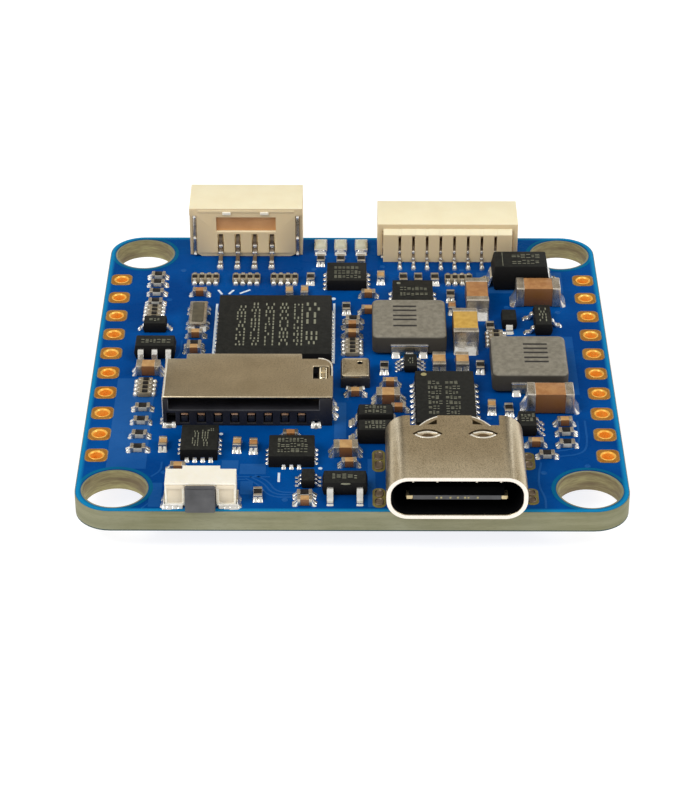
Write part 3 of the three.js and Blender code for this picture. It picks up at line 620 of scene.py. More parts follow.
# Printed lines are paths, printed dots (x, y, radius).
INK_LINES = [[(-9.65, 8.0), (-9.65, 1.2)], [(-1.29, 8.1), (-1.29, 0.0)], [(-9.65, 9.98), (-9.36, 9.36)],
             [(-8.54, 9.98), (-8.87, 9.4)], [(-8.09, 9.48), (-7.35, 10.02)], [(-4.74, -13.44), (-4.74, -14.49)]]
INK_DOTS = [(-8.68, -8.89, 0.14), (-2.08, -12.92, 0.14), (-1.35, 8.75, 0.17)]


def make_relief():
    """Copper pours, traces and vias stand a little proud under the mask."""
    copper, vias, bottom = Shape(), Shape(), Shape()
    for pour in POURS:
        copper.prism(bar(*pour), 0, RELIEF * 0.8, "z", 0.006)
    for path, width in TRACES:
        copper.prism(band(path, width), 0, RELIEF, "z", 0.005)
    for via in VIAS:
        vias.spin(((0.21, 0), (0.2, 0.018), (0.13, 0.02), (0.11, 0.006)), *via, 16)
        under = ((0.21, -0.005), (0.2, 0.016), (0.12, 0.016), (0.1, 0.004))
        vias.spin([(radius, -BOARD_TOP - z) for radius, z in under], *via, 16)
    for side in SIDES:
        for row, y in enumerate(PAD_ROWS):
            end = 12.7 - 0.55 * (row % 3)
            path = [(side * 15.9, y), (side * end, y), (side * (end - 1), y + 1), (side * (end - 3.5), y + 1)]
            bottom.prism(band(path, 0.2), -BOARD_TOP - RELIEF, -BOARD_TOP + 0.004, "z", 0.004)
    for name, shape in (("copper_relief", copper), ("vias", vias), ("copper_relief_bottom", bottom)):
        make_piece(name, shape, [MASK_COPPER])


def make_legend():
    """White ink on the mask."""
    ink = Shape()
    for path in INK_LINES:
        ink.prism(ribbon(path, 0.16), 0, INK_THICK, "z", 0.006)
    for x, y, radius in INK_DOTS:
        ink.spin(((radius, 0), (radius * 0.96, INK_THICK)), x, y)
    make_piece("legend_marks", ink, [SILK])


# ------------------------------------------------------------------ USB-C socket
USB_AT, USB_SIZE = seat("usb_shell")
USB_FRONT, USB_BACK, USB_NOTCH = -18.6, -11.42, -12.58
USB_WALL = 0.3
USB_RADIUS = 1.4
USB_TAB_SPACING = 1.78
USB_TAB_Y = -13.6
# The oval slots that hold the shell's legs: x, front and back.
USB_SLOTS = [(1.72, -13.2, -10.9), (1.72, -17.25, -15.3), (11.48, -12.95, -11.15), (11.48, -16.9, -15.3)]
USB_SLOT_WIDTH = 0.62


def usb_ring(pull, y, radius=USB_RADIUS):
    """The outline of the shell standing across the Y axis, pulled in on all sides."""
    ring = rounded_ring(USB_SIZE.x - 2 * pull, USB_SIZE.z - 2 * pull, radius - pull, 0, USB_AT.x, USB_SIZE.z / 2, 9)
    return [(p[0], y, p[1]) for p in ring]


def make_usb_shell():
    x, top, lip, wall = USB_AT.x, USB_SIZE.z, 0.05, USB_WALL
    shell = Shape()
    shell.loft([usb_ring(pull, y) for pull, y in (
        (lip, USB_FRONT), (lip * 0.3, USB_FRONT + lip * 0.3), (0, USB_FRONT + lip), (0, USB_BACK), (wall, USB_BACK),
        (wall, USB_FRONT + lip), (wall - lip * 0.4, USB_FRONT + lip * 0.3), (wall - lip, USB_FRONT))], closed=True)
    # The front lip faces take the lighter nickel, a painted highlight.
    shell.slots = [int(all(shell.points[k].y < USB_FRONT + lip / 2 for k in face)) for face in shell.faces]
    # Rear notches, side reliefs and the slots of the spring tabs are stamped out.
    tool = Shape()
    notch = [(1.1, USB_BACK + 1), (1.1, -11.5), (1.45, -11.7), (1.72, -11.93), (1.99, -12.23), (2.27, USB_NOTCH),
             (2.88, USB_NOTCH), (2.88, USB_BACK + 1)]
    gap = [(1.15, -12.46), (1.15, -11.9), (1.45, -12.16), (1.8, -12.52)]
    for side in SIDES:
        for outline in (notch, gap):
            tool.prism([(x + side * a, b) for a, b in outline][::side], top - 0.9, top + 1, "z")
        edge = x + side * USB_SIZE.x / 2
        tool.box((edge - 0.6, -12.2, -1), (edge + 0.6, USB_BACK + 1, 1.3))
        tab = x + side * USB_TAB_SPACING
        tool.loft([lens(1.95, 1.06, level, tab, USB_TAB_Y + 0.03) for level in (top - 1, top + 1)])
    piece = make_piece("usb_shell_drawn", shell, [STEEL, STEEL_BRIGHT], "usb_shell")
    cut_from(piece, tool, "usb_cuts")


def make_spring_tabs():
    """Two latch springs: dished pointed ovals bent down into the shell. Their front and back edge bands are painted
    highlights and their brown centres a painted reflection.
    """
    tabs, rear_highlights = Shape(), Shape()
    top, y = USB_SIZE.z, USB_TAB_Y - 0.03
    front = [(-0.8, -0.02), (-0.5, -0.3), (0, -0.43), (0.5, -0.3), (0.8, -0.02)]
    back = [(-0.62, 0.22), (0, 0.4), (0.62, 0.22)]
    arc = [(1.12, -11.56), (1.47, -11.76), (1.76, -12.0), (2.03, -12.3), (2.28, -12.64)]
    for side in SIDES:
        x = USB_AT.x + side * USB_TAB_SPACING
        dish = ((1.0, -0.3), (1.0, -0.06), (0.5, -0.12))
        tabs.loft([lens(1.8 * share, 0.94 * share, top + drop, x, y) for share, drop in dish])
        # The brown centre of each tab is a painted reflection.
        tabs.loft([lens(0.8, 0.5, top + drop, x, y - 0.04) for drop in (-0.2, -0.09)], 1)
        # The front and back edge bands are painted highlights.
        for path, width, low, high in ((front, 0.15, -0.12, 0.012), (back, 0.1, -0.14, -0.03)):
            outline = band([(x + a, y + b) for a, b in path], width)
            tabs.prism(outline, top + low, top + high, "z", 0.02, 2)
        # Painted highlights along the edges of the rear notches.
        outline = band([(USB_AT.x + side * a, b) for a, b in arc], 0.1)
        rear_highlights.prism(outline, top - 0.1, top + 0.012, "z", 0.02)
    make_piece("usb_spring_tabs", tabs, [STEEL_SPRING, BROWN_TAB_REFLECTION, PAINTED_EDGE_HIGHLIGHT])
    make_piece("usb_rear_edge_highlights", rear_highlights, [PAINTED_EDGE_HIGHLIGHT])


def make_usb_inside():
    x, liner, nose, ends, contacts, dimples = USB_AT.x, *(Shape() for _ in range(5))
    # The near-black tube along the shell's inside walls is painted shade. The block behind it and the tongue are the
    # black insulator.
    liner.loft([usb_ring(*spot) for spot in ((0.31, -18.5), (0.31, -12.6), (0.42, -12.6), (0.42, -18.4))], closed=True)
    liner.loft([usb_ring(0.45, y, 1.45) for y in (-13.4, -11.9)])
    tongue = [(-18.15, 1.2), (-12.9, 1.2), (-12.9, 1.92), (-17.76, 1.92), (-18.15, 1.54)]
    liner.prism(tongue, x - 3.0, x + 3.0, "x", 0.03)
    make_piece("usb_insulator_and_shade_liner", liner, [BLACK_AND_PAINTED_SHADE], "usb_insulator")
    nose.prism([(-18.17, 1.23), (-17.9, 1.21), (-17.9, 1.66), (-18.17, 1.52)], x - 2.78, x + 2.78, "x", 0.02)
    make_piece("usb_tongue_nose", nose, [GREY_AND_EDGE_HIGHLIGHT])
    for low, high in pair(x, 2.76, 3.22, -18.18, -17.5, 1.24, 1.53):
        ends.block(low, high, 0.04, 0.1)
    make_piece("usb_latch_edges", ends, [TIN_WARM], "usb_latch_edge_left usb_latch_edge_right")
    for at in evenly(12, 0.5):
        for level in (1.17, 1.9):
            contacts.block(*slab(x + at, 0.12, -16.9, -13.3, level, level + 0.04), 0.015, 0.04)
    for at in (-1.28, -1.0, -0.42, 0.05, 0.5, 0.72, 1.3):
        contacts.block(*slab(x + at, 0.07, -18.19, -18.1, 1.29, 1.43), 0.02, 0.05)
    make_piece("usb_contacts", contacts, [GOLD_MARK_AND_LEAD_REFLECTION])
    roof = USB_SIZE.z - USB_WALL - 0.12
    for at in (-2.79, -1.27, 1.2, 2.72):
        dimples.spin(((0.1, roof + 0.1), (0.09, roof - 0.02), (0.04, roof - 0.05)), x + at, -18.38, 12)
    make_piece("usb_wall_dimples", dimples, [TIN])


def make_usb_legs():
    slots = Shape()
    for x, front, back in USB_SLOTS:
        length, y = back - front, (back + front) / 2
        rim = ((0, 0), (0, 0.02), (0.07, 0.03))
        slots.stack(USB_SLOT_WIDTH + 0.24, length + 0.24, 0.4, rim, x, y, steps=5)
        leg = ((0.0, 0.028), (0.01, 0.07), (0.05, 0.1), (0.1, 0.04))
        for share in (-0.24, 0.24):
            slots.stack(USB_SLOT_WIDTH - 0.04, length * 0.42, 0.24, leg, x, y + share * length, 1, steps=5)
    make_piece("usb_leg_slots", slots, [OLIVE, TIN_DARK])


# ------------------------------------------------------------------ memory card socket
CARD_LEFT, CARD_RIGHT, CARD_FRONT, CARD_BACK, CARD_TOP = -12.58, -1.3, -7.8, -2.35, 2.25
CARD_SKIN = 0.15
CARD_STEP = -3.0
CARD_WINDOWS = [-11.13 + 1.11 * i for i in range(8)]


def make_card_cover():
    left, right, front, back, top, skin = CARD_LEFT, CARD_RIGHT, CARD_FRONT, CARD_BACK, CARD_TOP, CARD_SKIN
    shell = carved_shape("card_shell", [((left, front, 0.45), (right, back, top))], [
        ((left + skin, front - 1, -1), (right - skin, back - skin, top - skin)),
        ((left - 1, CARD_STEP, -1), (-11.2, back + 1, top + 1)),
        ((-3.4, CARD_STEP, -1), (right + 1, back + 1, top + 1)),
        ((-2.63, -5.5, top - 1), (-1.62, -3.95, top + 1)),
        ((left - 1, front - 1, -1), (left + 1, front + 0.6, 1.2)),
        ((right - 1, front - 1, -1), (right + 1, front + 0.9, 1.0))], 0.07, segments=3)
    cover = make_piece("card_socket_cover", shell, [STEEL], "card_socket_shell", smooth=20)
    # The corner behind the latch opening is rounded off, and the cover's side is open beside the latch.
    arc = [(-2.2 + 0.9 * math.sin(a), -3.84 + 0.9 * math.cos(a)) for a in (0.0, 0.4, 0.8, 1.2, 1.57)]
    tool, edge = Shape(), Shape()
    tool.prism([(-1.0, -2.0), (-1.0, -3.84), *arc[::-1], (-2.3, -2.0)], top - 0.9, top + 1, "z")
    tool.box((-1.5, -5.15, top - 0.9), (-1.0, -3.95, top + 1))
    cut_from(cover, tool, "card_cuts", 20)
    # Painted highlights: a strip along the cover's left top edge and a band around the latch opening's rim.
    profile = [(left - 0.03, 0.62), (left + 0.04, 0.62), (left + 0.13, top + 0.012), (left + 0.04, top),
               (left - 0.03, top - 0.14)]
    edge.prism(profile, front + 0.04, CARD_STEP - 0.06, "y", 0.02)
    rim = [(-1.36, -5.2), (-1.36, -3.9), (-1.5, -3.4), (-1.9, -3.0), (-2.3, -2.96)]
    edge.prism(band(rim, 0.09), top - 0.3, top + 0.012, "z", 0.02)
    make_piece("card_cover_edge_highlights", edge, [PAINTED_EDGE_HIGHLIGHT])


def make_card_base():
    left, right, front, top, skin = CARD_LEFT, CARD_RIGHT, CARD_FRONT, CARD_TOP, CARD_SKIN
    base = carved_shape("card_base", [((left + 0.03, front - 0.06, 0.0), (right - 0.03, -3.02, top - skin - 0.01))], [
        ((-12.2, front - 1, 1.27), (-2.2, -3.3, top)),
        ((-2.72, front - 1, -1), (-2.12, front + 0.5, 0.4)),
        ((-2.75, -5.6, 1.0), (-1.55, -3.85, top)),
        ((left - 1, front + 0.02, -1), (left + skin + 0.01, 0, 3)),
        ((right - skin - 0.01, front + 0.02, -1), (right + 1, 0, 3)),
        *[slab(at, 0.3, front - 1, front + 0.9, 0.2, 1.0) for at in (*CARD_WINDOWS, -12.02)]], 0.04)
    base.block((-11.1, -3.3, 0.05), (-3.5, -2.55, top - skin - 0.03), 0.04, 0.05)
    slot_highlights, contacts, spring = Shape(), Shape(), Shape()
    for at in CARD_WINDOWS:
        base.block(*slab(at, 0.24, front + 0.03, front + 0.7, 0.24, 0.68), 0.04, 0.06)
        contacts.block(*slab(at, 0.235, front + 0.03, front + 0.4, 0.76, 0.9), 0.03, 0.04)
    make_piece("card_socket_body", base, [BLACK], "card_socket_base")
    make_piece("card_socket_contacts", contacts, [COPPER])
    # Thin grey strips along the slot opening's bottom and sides are painted highlights on the black plastic's edges.
    for start, end, low, high, corner in ((-12.2, -2.14, 1.19, 1.235, 0.01), (-2.2, -2.14, 1.2, 2.0, 0.02),
                                          (-12.24, -12.19, 1.2, 2.0, 0.02)):
        slot_highlights.block((start, front - 0.075, low), (end, front - 0.03, high), 0.012, corner)
    make_piece("card_slot_edge_highlights", slot_highlights, [GREY_AND_EDGE_HIGHLIGHT])
    bend = [(-2.34, 1.2), (-2.27, 1.9), (-2.16, 2.2), (-1.75, 2.2), (-1.66, 2.0), (-1.62, 1.4)]
    spring.prism(band(bend, 0.1), -5.42, -4.05, "y", 0.03)
    spring.block((-2.1, -4.75, 2.2), (-1.78, -4.55, 2.27), 0.02, 0.03)
    make_piece("card_latch_spring", spring, [SPRING_WARM])


def make_card_solder():
    solder_and_highlights = Shape()
    for x, *size in ((-12.45, 0.2, 0.34, 0.3), (-12.16, 0.3, 0.36, 0.2), (-11.86, 0.24, 0.3, 0.26),
                     (-2.6, 0.2, 0.34, 0.34), (-2.4, 0.16, 0.4, 0.2), (-2.2, 0.2, 0.32, 0.3)):
        solder_and_highlights.fillet(x, CARD_FRONT - 0.02, -90, *size)
    for y in (-7.5, -7.1):
        solder_and_highlights.fillet(CARD_LEFT + 0.05, y, 180, 0.34, 0.26, 0.4)
    for y, reach in ((-5.2, 0.3), (-5.75, 0.42), (-6.6, 0.42), (-7.0, 0.3)):
        solder_and_highlights.fillet(CARD_RIGHT - 0.02, y, 0, 0.4, reach, 0.55)
    for x in (-10.4, -4.2):
        solder_and_highlights.fillet(x, CARD_BACK + 0.02, 90, 0.9, 0.4, 0.5)
    make_piece("card_socket_solder", solder_and_highlights, [SOLDER])


# ------------------------------------------------------------------ side button
def make_button():
    x = seat("button_cover")[0].x
    front, back, boss_back, tip = -17.38, -15.71, -15.35, -18.14
    half, boss_half, height, under = 2.25, 1.2, 1.87, 1.72
    frame_shape = carved_shape("button_body", [
        slab(x, half, front + 0.04, back, 0.06, under),
        slab(x, boss_half, back - 0.1, boss_back, 0.06, under - 0.02)], [
        slab(x, 1.01, front - 1, front + 0.4, 0.02, height),
        slab(x, 1.31, front + 0.25, back - 0.25, 0.02, height),
        slab(x, 0.9, back - 0.4, boss_back - 0.3, 0.02, height),
        *pair(x, 1.14, half - 0.12, front - 1, front + 0.12, 0.3, 1.42),
        slab(x, 1.7, front - 1, front + 0.3, -1, 0.16)], 0.03)
    make_piece("button_frame", frame_shape, [BUTTON_CREAM], "button_housing")
    panels, cover, key, feet, solder_and_highlights = (Shape() for _ in range(5))
    for low, high in pair(x, 1.18, half - 0.16, front + 0.1, front + 0.22, 0.34, 1.38):
        panels.block(low, high, 0.02, 0.04)
    panels.block(*slab(x, half - 0.08, front, front + 0.14, under - 0.3, under - 0.02), 0.03, 0.03)
    make_piece("button_frame_panels", panels, [BUTTON_PANEL])
    outline = [(half, front), (half, back), (boss_half, back), (boss_half, boss_back)]
    cover.prism([(x + a, b) for a, b in outline] + [(x - a, b) for a, b in outline[::-1]], under, height, "z", 0.03)
    make_piece("button_top", cover, [BUTTON_CREAM], "button_cover")

    profile = [(tip, 0.14), (tip + 0.05, 0.1), (front + 0.5, 0.1), (front + 0.5, 1.68), (front - 0.3, 1.68),
               (front - 0.46, 1.56), (tip, 1.44)]
    key.prism(profile, x - 0.95, x + 0.95, "x", 0.06)
    key.block(*slab(x, 1.25, front + 0.27, front + 0.52, 0.1, 1.68), 0.03, 0.04)
    key.prism(bar(front - 0.36, 1.66, 0.06, 0.04), x - 0.86, x + 0.86, "x", 0.01)
    make_piece("button_key", key, [GREY_AND_EDGE_HIGHLIGHT], "button_plunger", body="plunger")

    for low, high in pair(x, half, half + 0.14, front + 0.15, front + 1.35, 0.0, 0.5):
        feet.block(low, high, 0.05, 0.05)
    for low, high in pair(x, 0.98, 1.06, front - 0.03, front + 0.12, 0.1, 1.7):
        feet.block(low, high, 0.02, 0.02)
    make_piece("button_terminals", feet, [TIN], "button_terminal_left button_terminal_right")
    for side, turn in LEFT_RIGHT:
        for y, reach in ((0.2, 0.24), (0.55, 0.18), (0.95, 0.2)):
            solder_and_highlights.fillet(x + side * (half + 0.1), front + y, turn, 0.4, reach, 0.42)
        for at, reach in ((1.3, 0.16), (1.65, 0.2), (2.0, 0.26), (2.25, 0.24)):
            solder_and_highlights.fillet(x + side * at, front + 0.05, -90, 0.34, reach, 0.24)
    make_piece("button_solder", solder_and_highlights, [SOLDER])


# ------------------------------------------------------------------ plug connectors
def make_plug_metal(plug, pins, width, front, knee, blade, tip, foot, pad, pad_width, nail_boxes):
    """Contacts, fitting nails and solder. A contact has a foot on the board, a knee in front of the housing, a rise
    behind its slot and a blade inside."""
    solder_and_highlights, nails = Shape(), Shape()
    for number, x in enumerate(pins, 1):
        pin, middle = Shape(), 0.1
        path = [(foot, middle), (foot + 0.55, middle), (front - 0.34, knee * 0.35), (front - 0.08, knee),
                (front + 0.16, knee + 0.2), (front + 0.16, blade), (tip, blade)]
        pin.prism(band(path, 2 * middle), x - width / 2, x + width / 2, "x", 0.03)
        # Bright solder-coloured beads on each contact's bends are painted highlights.
        for z, y, grow in ((knee + 0.02, front - 0.16, 1.3), (knee + 0.5, front + 0.02, 1.1), (0.2, foot + 0.66, 1.3)):
            bead = ((0.03, z - 0.12), (0, z - 0.06), (0, z + 0.04), (0.03, z + 0.1))
            pin.stack(width * grow, 0.2, 0.08, bead, x, y, 1)
        make_piece(f"{plug}_contact_{number}", pin, [TIN_DARK, SOLDER], f"{plug}_pin_{number}")
        mound = ((0, 0), (0.01, 0.1), (0.05, 0.24), (0.12, 0.32))
        solder_and_highlights.stack(pad_width + 0.1, 0.42, 0.2, mound, x, pad + 0.14, steps=5)
        solder_and_highlights.stack(pad_width + 0.02, 1.0, 0.2, ((0, 0), (0.02, 0.05), (0.07, 0.09)), x, pad + 0.5)
    for low, high in nail_boxes:
        nails.block(low, high, 0.04, 0.05)
        # Bright beads at three heights on each nail's front are painted highlights on its folds.
        for level in (high[2] * 0.06, high[2] * 0.45, high[2] - 0.1):
            fold = ((0.05, level - 0.13), (0, level), (0.05, level + 0.13))
            solder_and_highlights.stack(0.26, 0.26, 0.11, fold, (low[0] + high[0]) / 2, low[1] - 0.02)
    make_piece(f"{plug}_nails", nails, [TIN], f"{plug}_nail_left {plug}_nail_right")
    make_piece(f"{plug}_solder", solder_and_highlights, [SOLDER])


def make_plug_a():
    low, high = node_box("connector_a_housing")
    x, half = (low.x + high.x) / 2, (high.x - low.x) / 2
    front, back, top = low.y, high.y, high.z - BOARD_TOP
    pins = [x + at for at in evenly(4, 1.25)]
    housing = carved_shape("plug_a", [slab(x, half, front, back, 0.02, top)], [
        slab(x, half - 0.95, 15.9, back + 1, 0.65, top - 0.65),
        slab(x, 2.175, front - 1, front + 0.3, 2.08, 3.3),
        *pair(x, half - 0.2, half + 1, front - 1, front + 0.3, -1, 3.45),
        *pair(x, half - 0.52, half - 0.2, front - 1, front + 0.42, -1, 3.4),
        *pair(x, half - 0.35, half + 1, 16.9, 18.0, 2.4, top - 0.4),
        slab(x, half - 0.45, front - 1, front + 0.08, -1, 0.34),
        *[slab(pin, 0.22, front - 1, front + 1.1, 0.35, 1.9) for pin in pins]], 0.05)
    ribs, feet, pane = Shape(), Shape(), Shape()
    for at in (-1.4, 1.35):
        rib = ((0, top - 0.44), (0, top - 0.28), (0.05, top - 0.23))
        ribs.stack(0.62, 0.24, 0.07, rib, x + at, front - 0.02, 1)
    ribs.block(*slab(x, half - 0.6, front - 0.03, front + 0.2, top - 0.34, top - 0.14), 0.03, 0.03)
    make_piece("connector_a_ribs", ribs, [CREAM, BUTTON_CREAM])
    body = make_piece("connector_a_body", housing, [CREAM], "connector_a_housing")
    # Two wedges cut the housing's lower front corners back.
    for side in SIDES:
        outer, inner = x + side * (half - 0.2), x + side * (half - 0.9)
        feet.prism([(outer, -0.5), (inner, -0.5), (inner, 0.0), (outer, 0.4)], front - 0.5, front + 0.45, "y")
    cut_from(body, feet, "connector_a_feet")
    # The sheet behind the window opening is painted shade: the housing's cream plastic in the shade inside.
    pane.block(*slab(x, 2.17, front + 0.24, front + 0.34, 2.1, 3.29), 0.01, 0.02)
    make_piece("connector_a_window_shade", pane, [CREAM_IN_PAINTED_SHADE])
    make_plug_metal("connector_a", pins, 0.28, front, 0.42, 1.85, back - 0.8, 13.0, 12.98, 0.4,
                    pair(x, half - 0.5, half - 0.24, front + 0.12, front + 0.28, 0.0, 3.35))


def make_plug_b():
    low, high = node_box("connector_b_housing")
    x, half = (low.x + high.x) / 2, (high.x - low.x) / 2 + 0.1
    front, back, top, roof = low.y, high.y, high.z - BOARD_TOP, low.y + 0.38
    pins = [x + at for at in evenly(8, 1.0)]
    housing = carved_shape("plug_b", [slab(x, half, roof, back, 0.02, top)], [
        slab(x, half - 0.85, 15.3, back + 1, 0.5, top - 0.5),
        *pair(x, half - 0.6, half - 0.36, roof - 1, roof + 0.5, -1, 2.35),
        *pair(x, half - 0.36, half + 1, roof - 1, roof + 0.5, -1, 0.4),
        *pair(x, half - 0.3, half + 1, 15.9, 17.4, 1.7, top - 0.35),
        *[slab(pin, 0.1, front - 1, front + 0.9, 0.42, 2.16) for pin in pins]], 0.04)
    make_piece("connector_b_body", housing, [CREAM], "connector_b_housing")

    def ledge(bottom, edge):
        back_edge = roof + 0.1
        return [(back_edge, edge + 0.34), (roof - 0.04, edge + 0.32), (front, edge), (front, bottom), (back_edge, bottom)]

    # The contact block in front, with a sloped ledge along its top and slots for the contacts.
    block = Shape()
    marks = [x - half + 0.42, *[pin + offset for pin in pins for offset in (-0.1, 0.1)], x + half - 0.42]
    for start, end in zip(marks[::2], marks[1::2]):
        block.prism(ledge(0.02, 2.26), start, end, "x", 0.02)
    for start, end in zip(marks[1::2], marks[2::2]):
        for outline in (ledge(2.16, 2.25), bar(front, 0.02, 0.48, 0.38)):
            block.prism(outline, start - 0.01, end + 0.01, "x")
    make_piece("connector_b_front", block, [CREAM])
    make_plug_metal("connector_b", pins, 0.18, front, 0.36, 1.45, back - 0.8, 12.95, 12.9, 0.28,
                    pair(x, half - 0.5, half - 0.24, roof + 0.2, roof + 0.36, 0.0, 2.2))


# ------------------------------------------------------------------ chip packages
def mark_rows(shape, z, seed, rows, x, y, pitch, length, size, turn=0, stroke=0.06):
    """Rows of separate small dashes that stand for laser marking. They spell nothing."""
    draw = random.Random(seed)
    place = turned(x, y, turn, z)
    for across in evenly(rows, pitch):
        at = -length / 2
        while at < length / 2 - 0.1:
            step = size * draw.choice((0.35, 0.5, 0.6))
            for level in draw.choice(((-0.5, 0.5), (-0.5, 0.0, 0.5), (-0.25, 0.25), (-0.5, 0.1))):
                dash = bar(at, across + (size - stroke) * level - stroke / 2, step, stroke)
                shape.prism(dash, 0, 0.007, "z", 0, 1, place)
            at += step + stroke * 1.5


def at_edge(turn, distance, along):
    """A place on the side of a body that looks in the direction of turn, as (x, y, turn)."""
    side = 1 if turn in (0, 90) else -1
    return (side * distance, along, turn) if turn in (0, 180) else (along, side * distance, turn)


def make_chip(name, body, marks=(), dot=None, solder_and_highlights=(), leads=(), straps=None, details=None, turn=0):
    """A moulded chip on its node's place, drawn from its entry in CHIPS."""
    middle, size = seat(name)
    shape = Shape()
    shape.package(*(body if len(body) == 7 else (*size, *body)))
    for row in marks:
        mark_rows(shape, size.z, *row)
    if dot:
        x, y, radius, cap, sink, rise, slot = dot
        shape.spin(((radius, size.z - sink), (cap, size.z + rise)), x, y, slot=slot)
    for facing, places, *fillet in solder_and_highlights:
        for out in facing:
            for along in places:
                shape.fillet(*at_edge(out, (size.x if out in SIDEWAYS else size.y) / 2, along), *fillet, 2)
    for facing, distance, places, width, reach, lift, foot in leads:
        for out in facing:
            for along in places:
                shape.lead(*at_edge(out, distance, along), width, reach, lift, 0.15, foot)
                shape.fillet(*at_edge(out, distance, along), width * 0.95, 0.16, 0.1, 2, reach - 0.04)
    if straps:
        width, reach, lift = straps
        for side, out in LEFT_RIGHT:
            shape.lead(side * (body[0] / 2 - 0.1), 0, out, width, reach + 0.1, lift, 0.16, reach * 0.6)
            shape.fillet(side * (body[0] / 2 + reach - 0.06), 0, out, width, reach * 0.7, 0.16, 2)
    if details:
        details(shape, size)
    make_piece(f"{name}_package", shape, [MOULD, MARK, SOLDER, GOLD_MARK_AND_LEAD_REFLECTION], name, at=middle, turn=turn)


def load_switch_leads(shape, size):
    for side, turn in LEFT_RIGHT:
        for y in (-0.45, 0, 0.45):
            shape.lead(side * (size.x / 2 - 0.02), y, turn, 0.2, 0.42, 0.28, 0.09, 0.2)


def transistor_details(shape, size):
    shape.loft([lens(0.62, 0.16, size.z + rise, 0.05, -0.74) for rise in (-0.1, -0.038)], 1)
    # Two small khaki blocks on each front lead are a painted reflection on the lead's flat face.
    for x in (-0.94, 0.96):
        shape.block(*slab(x, 0.11, -1.16, -1.06, 0.3, 0.52), 0.02, 0.03, 3)
        shape.block(*slab(x, 0.11, -1.34, -1.22, 0.12, 0.28), 0.02, 0.03, 3)


def diode_line(shape, size):
    shape.prism(bar(-1.3, -1.0, 0.03, 2.0), size.z, size.z + 0.008, "z", 0, 1)


FLAT = (0.03, 0.015, 0.06, 0.03)
SIDEWAYS, FORWARDS, BACKWARDS = (0, 180), (-90,), (90,)
THREE = (-0.5, 0, 0.5)
FOUR = (-0.78, -0.26, 0.26, 0.78)
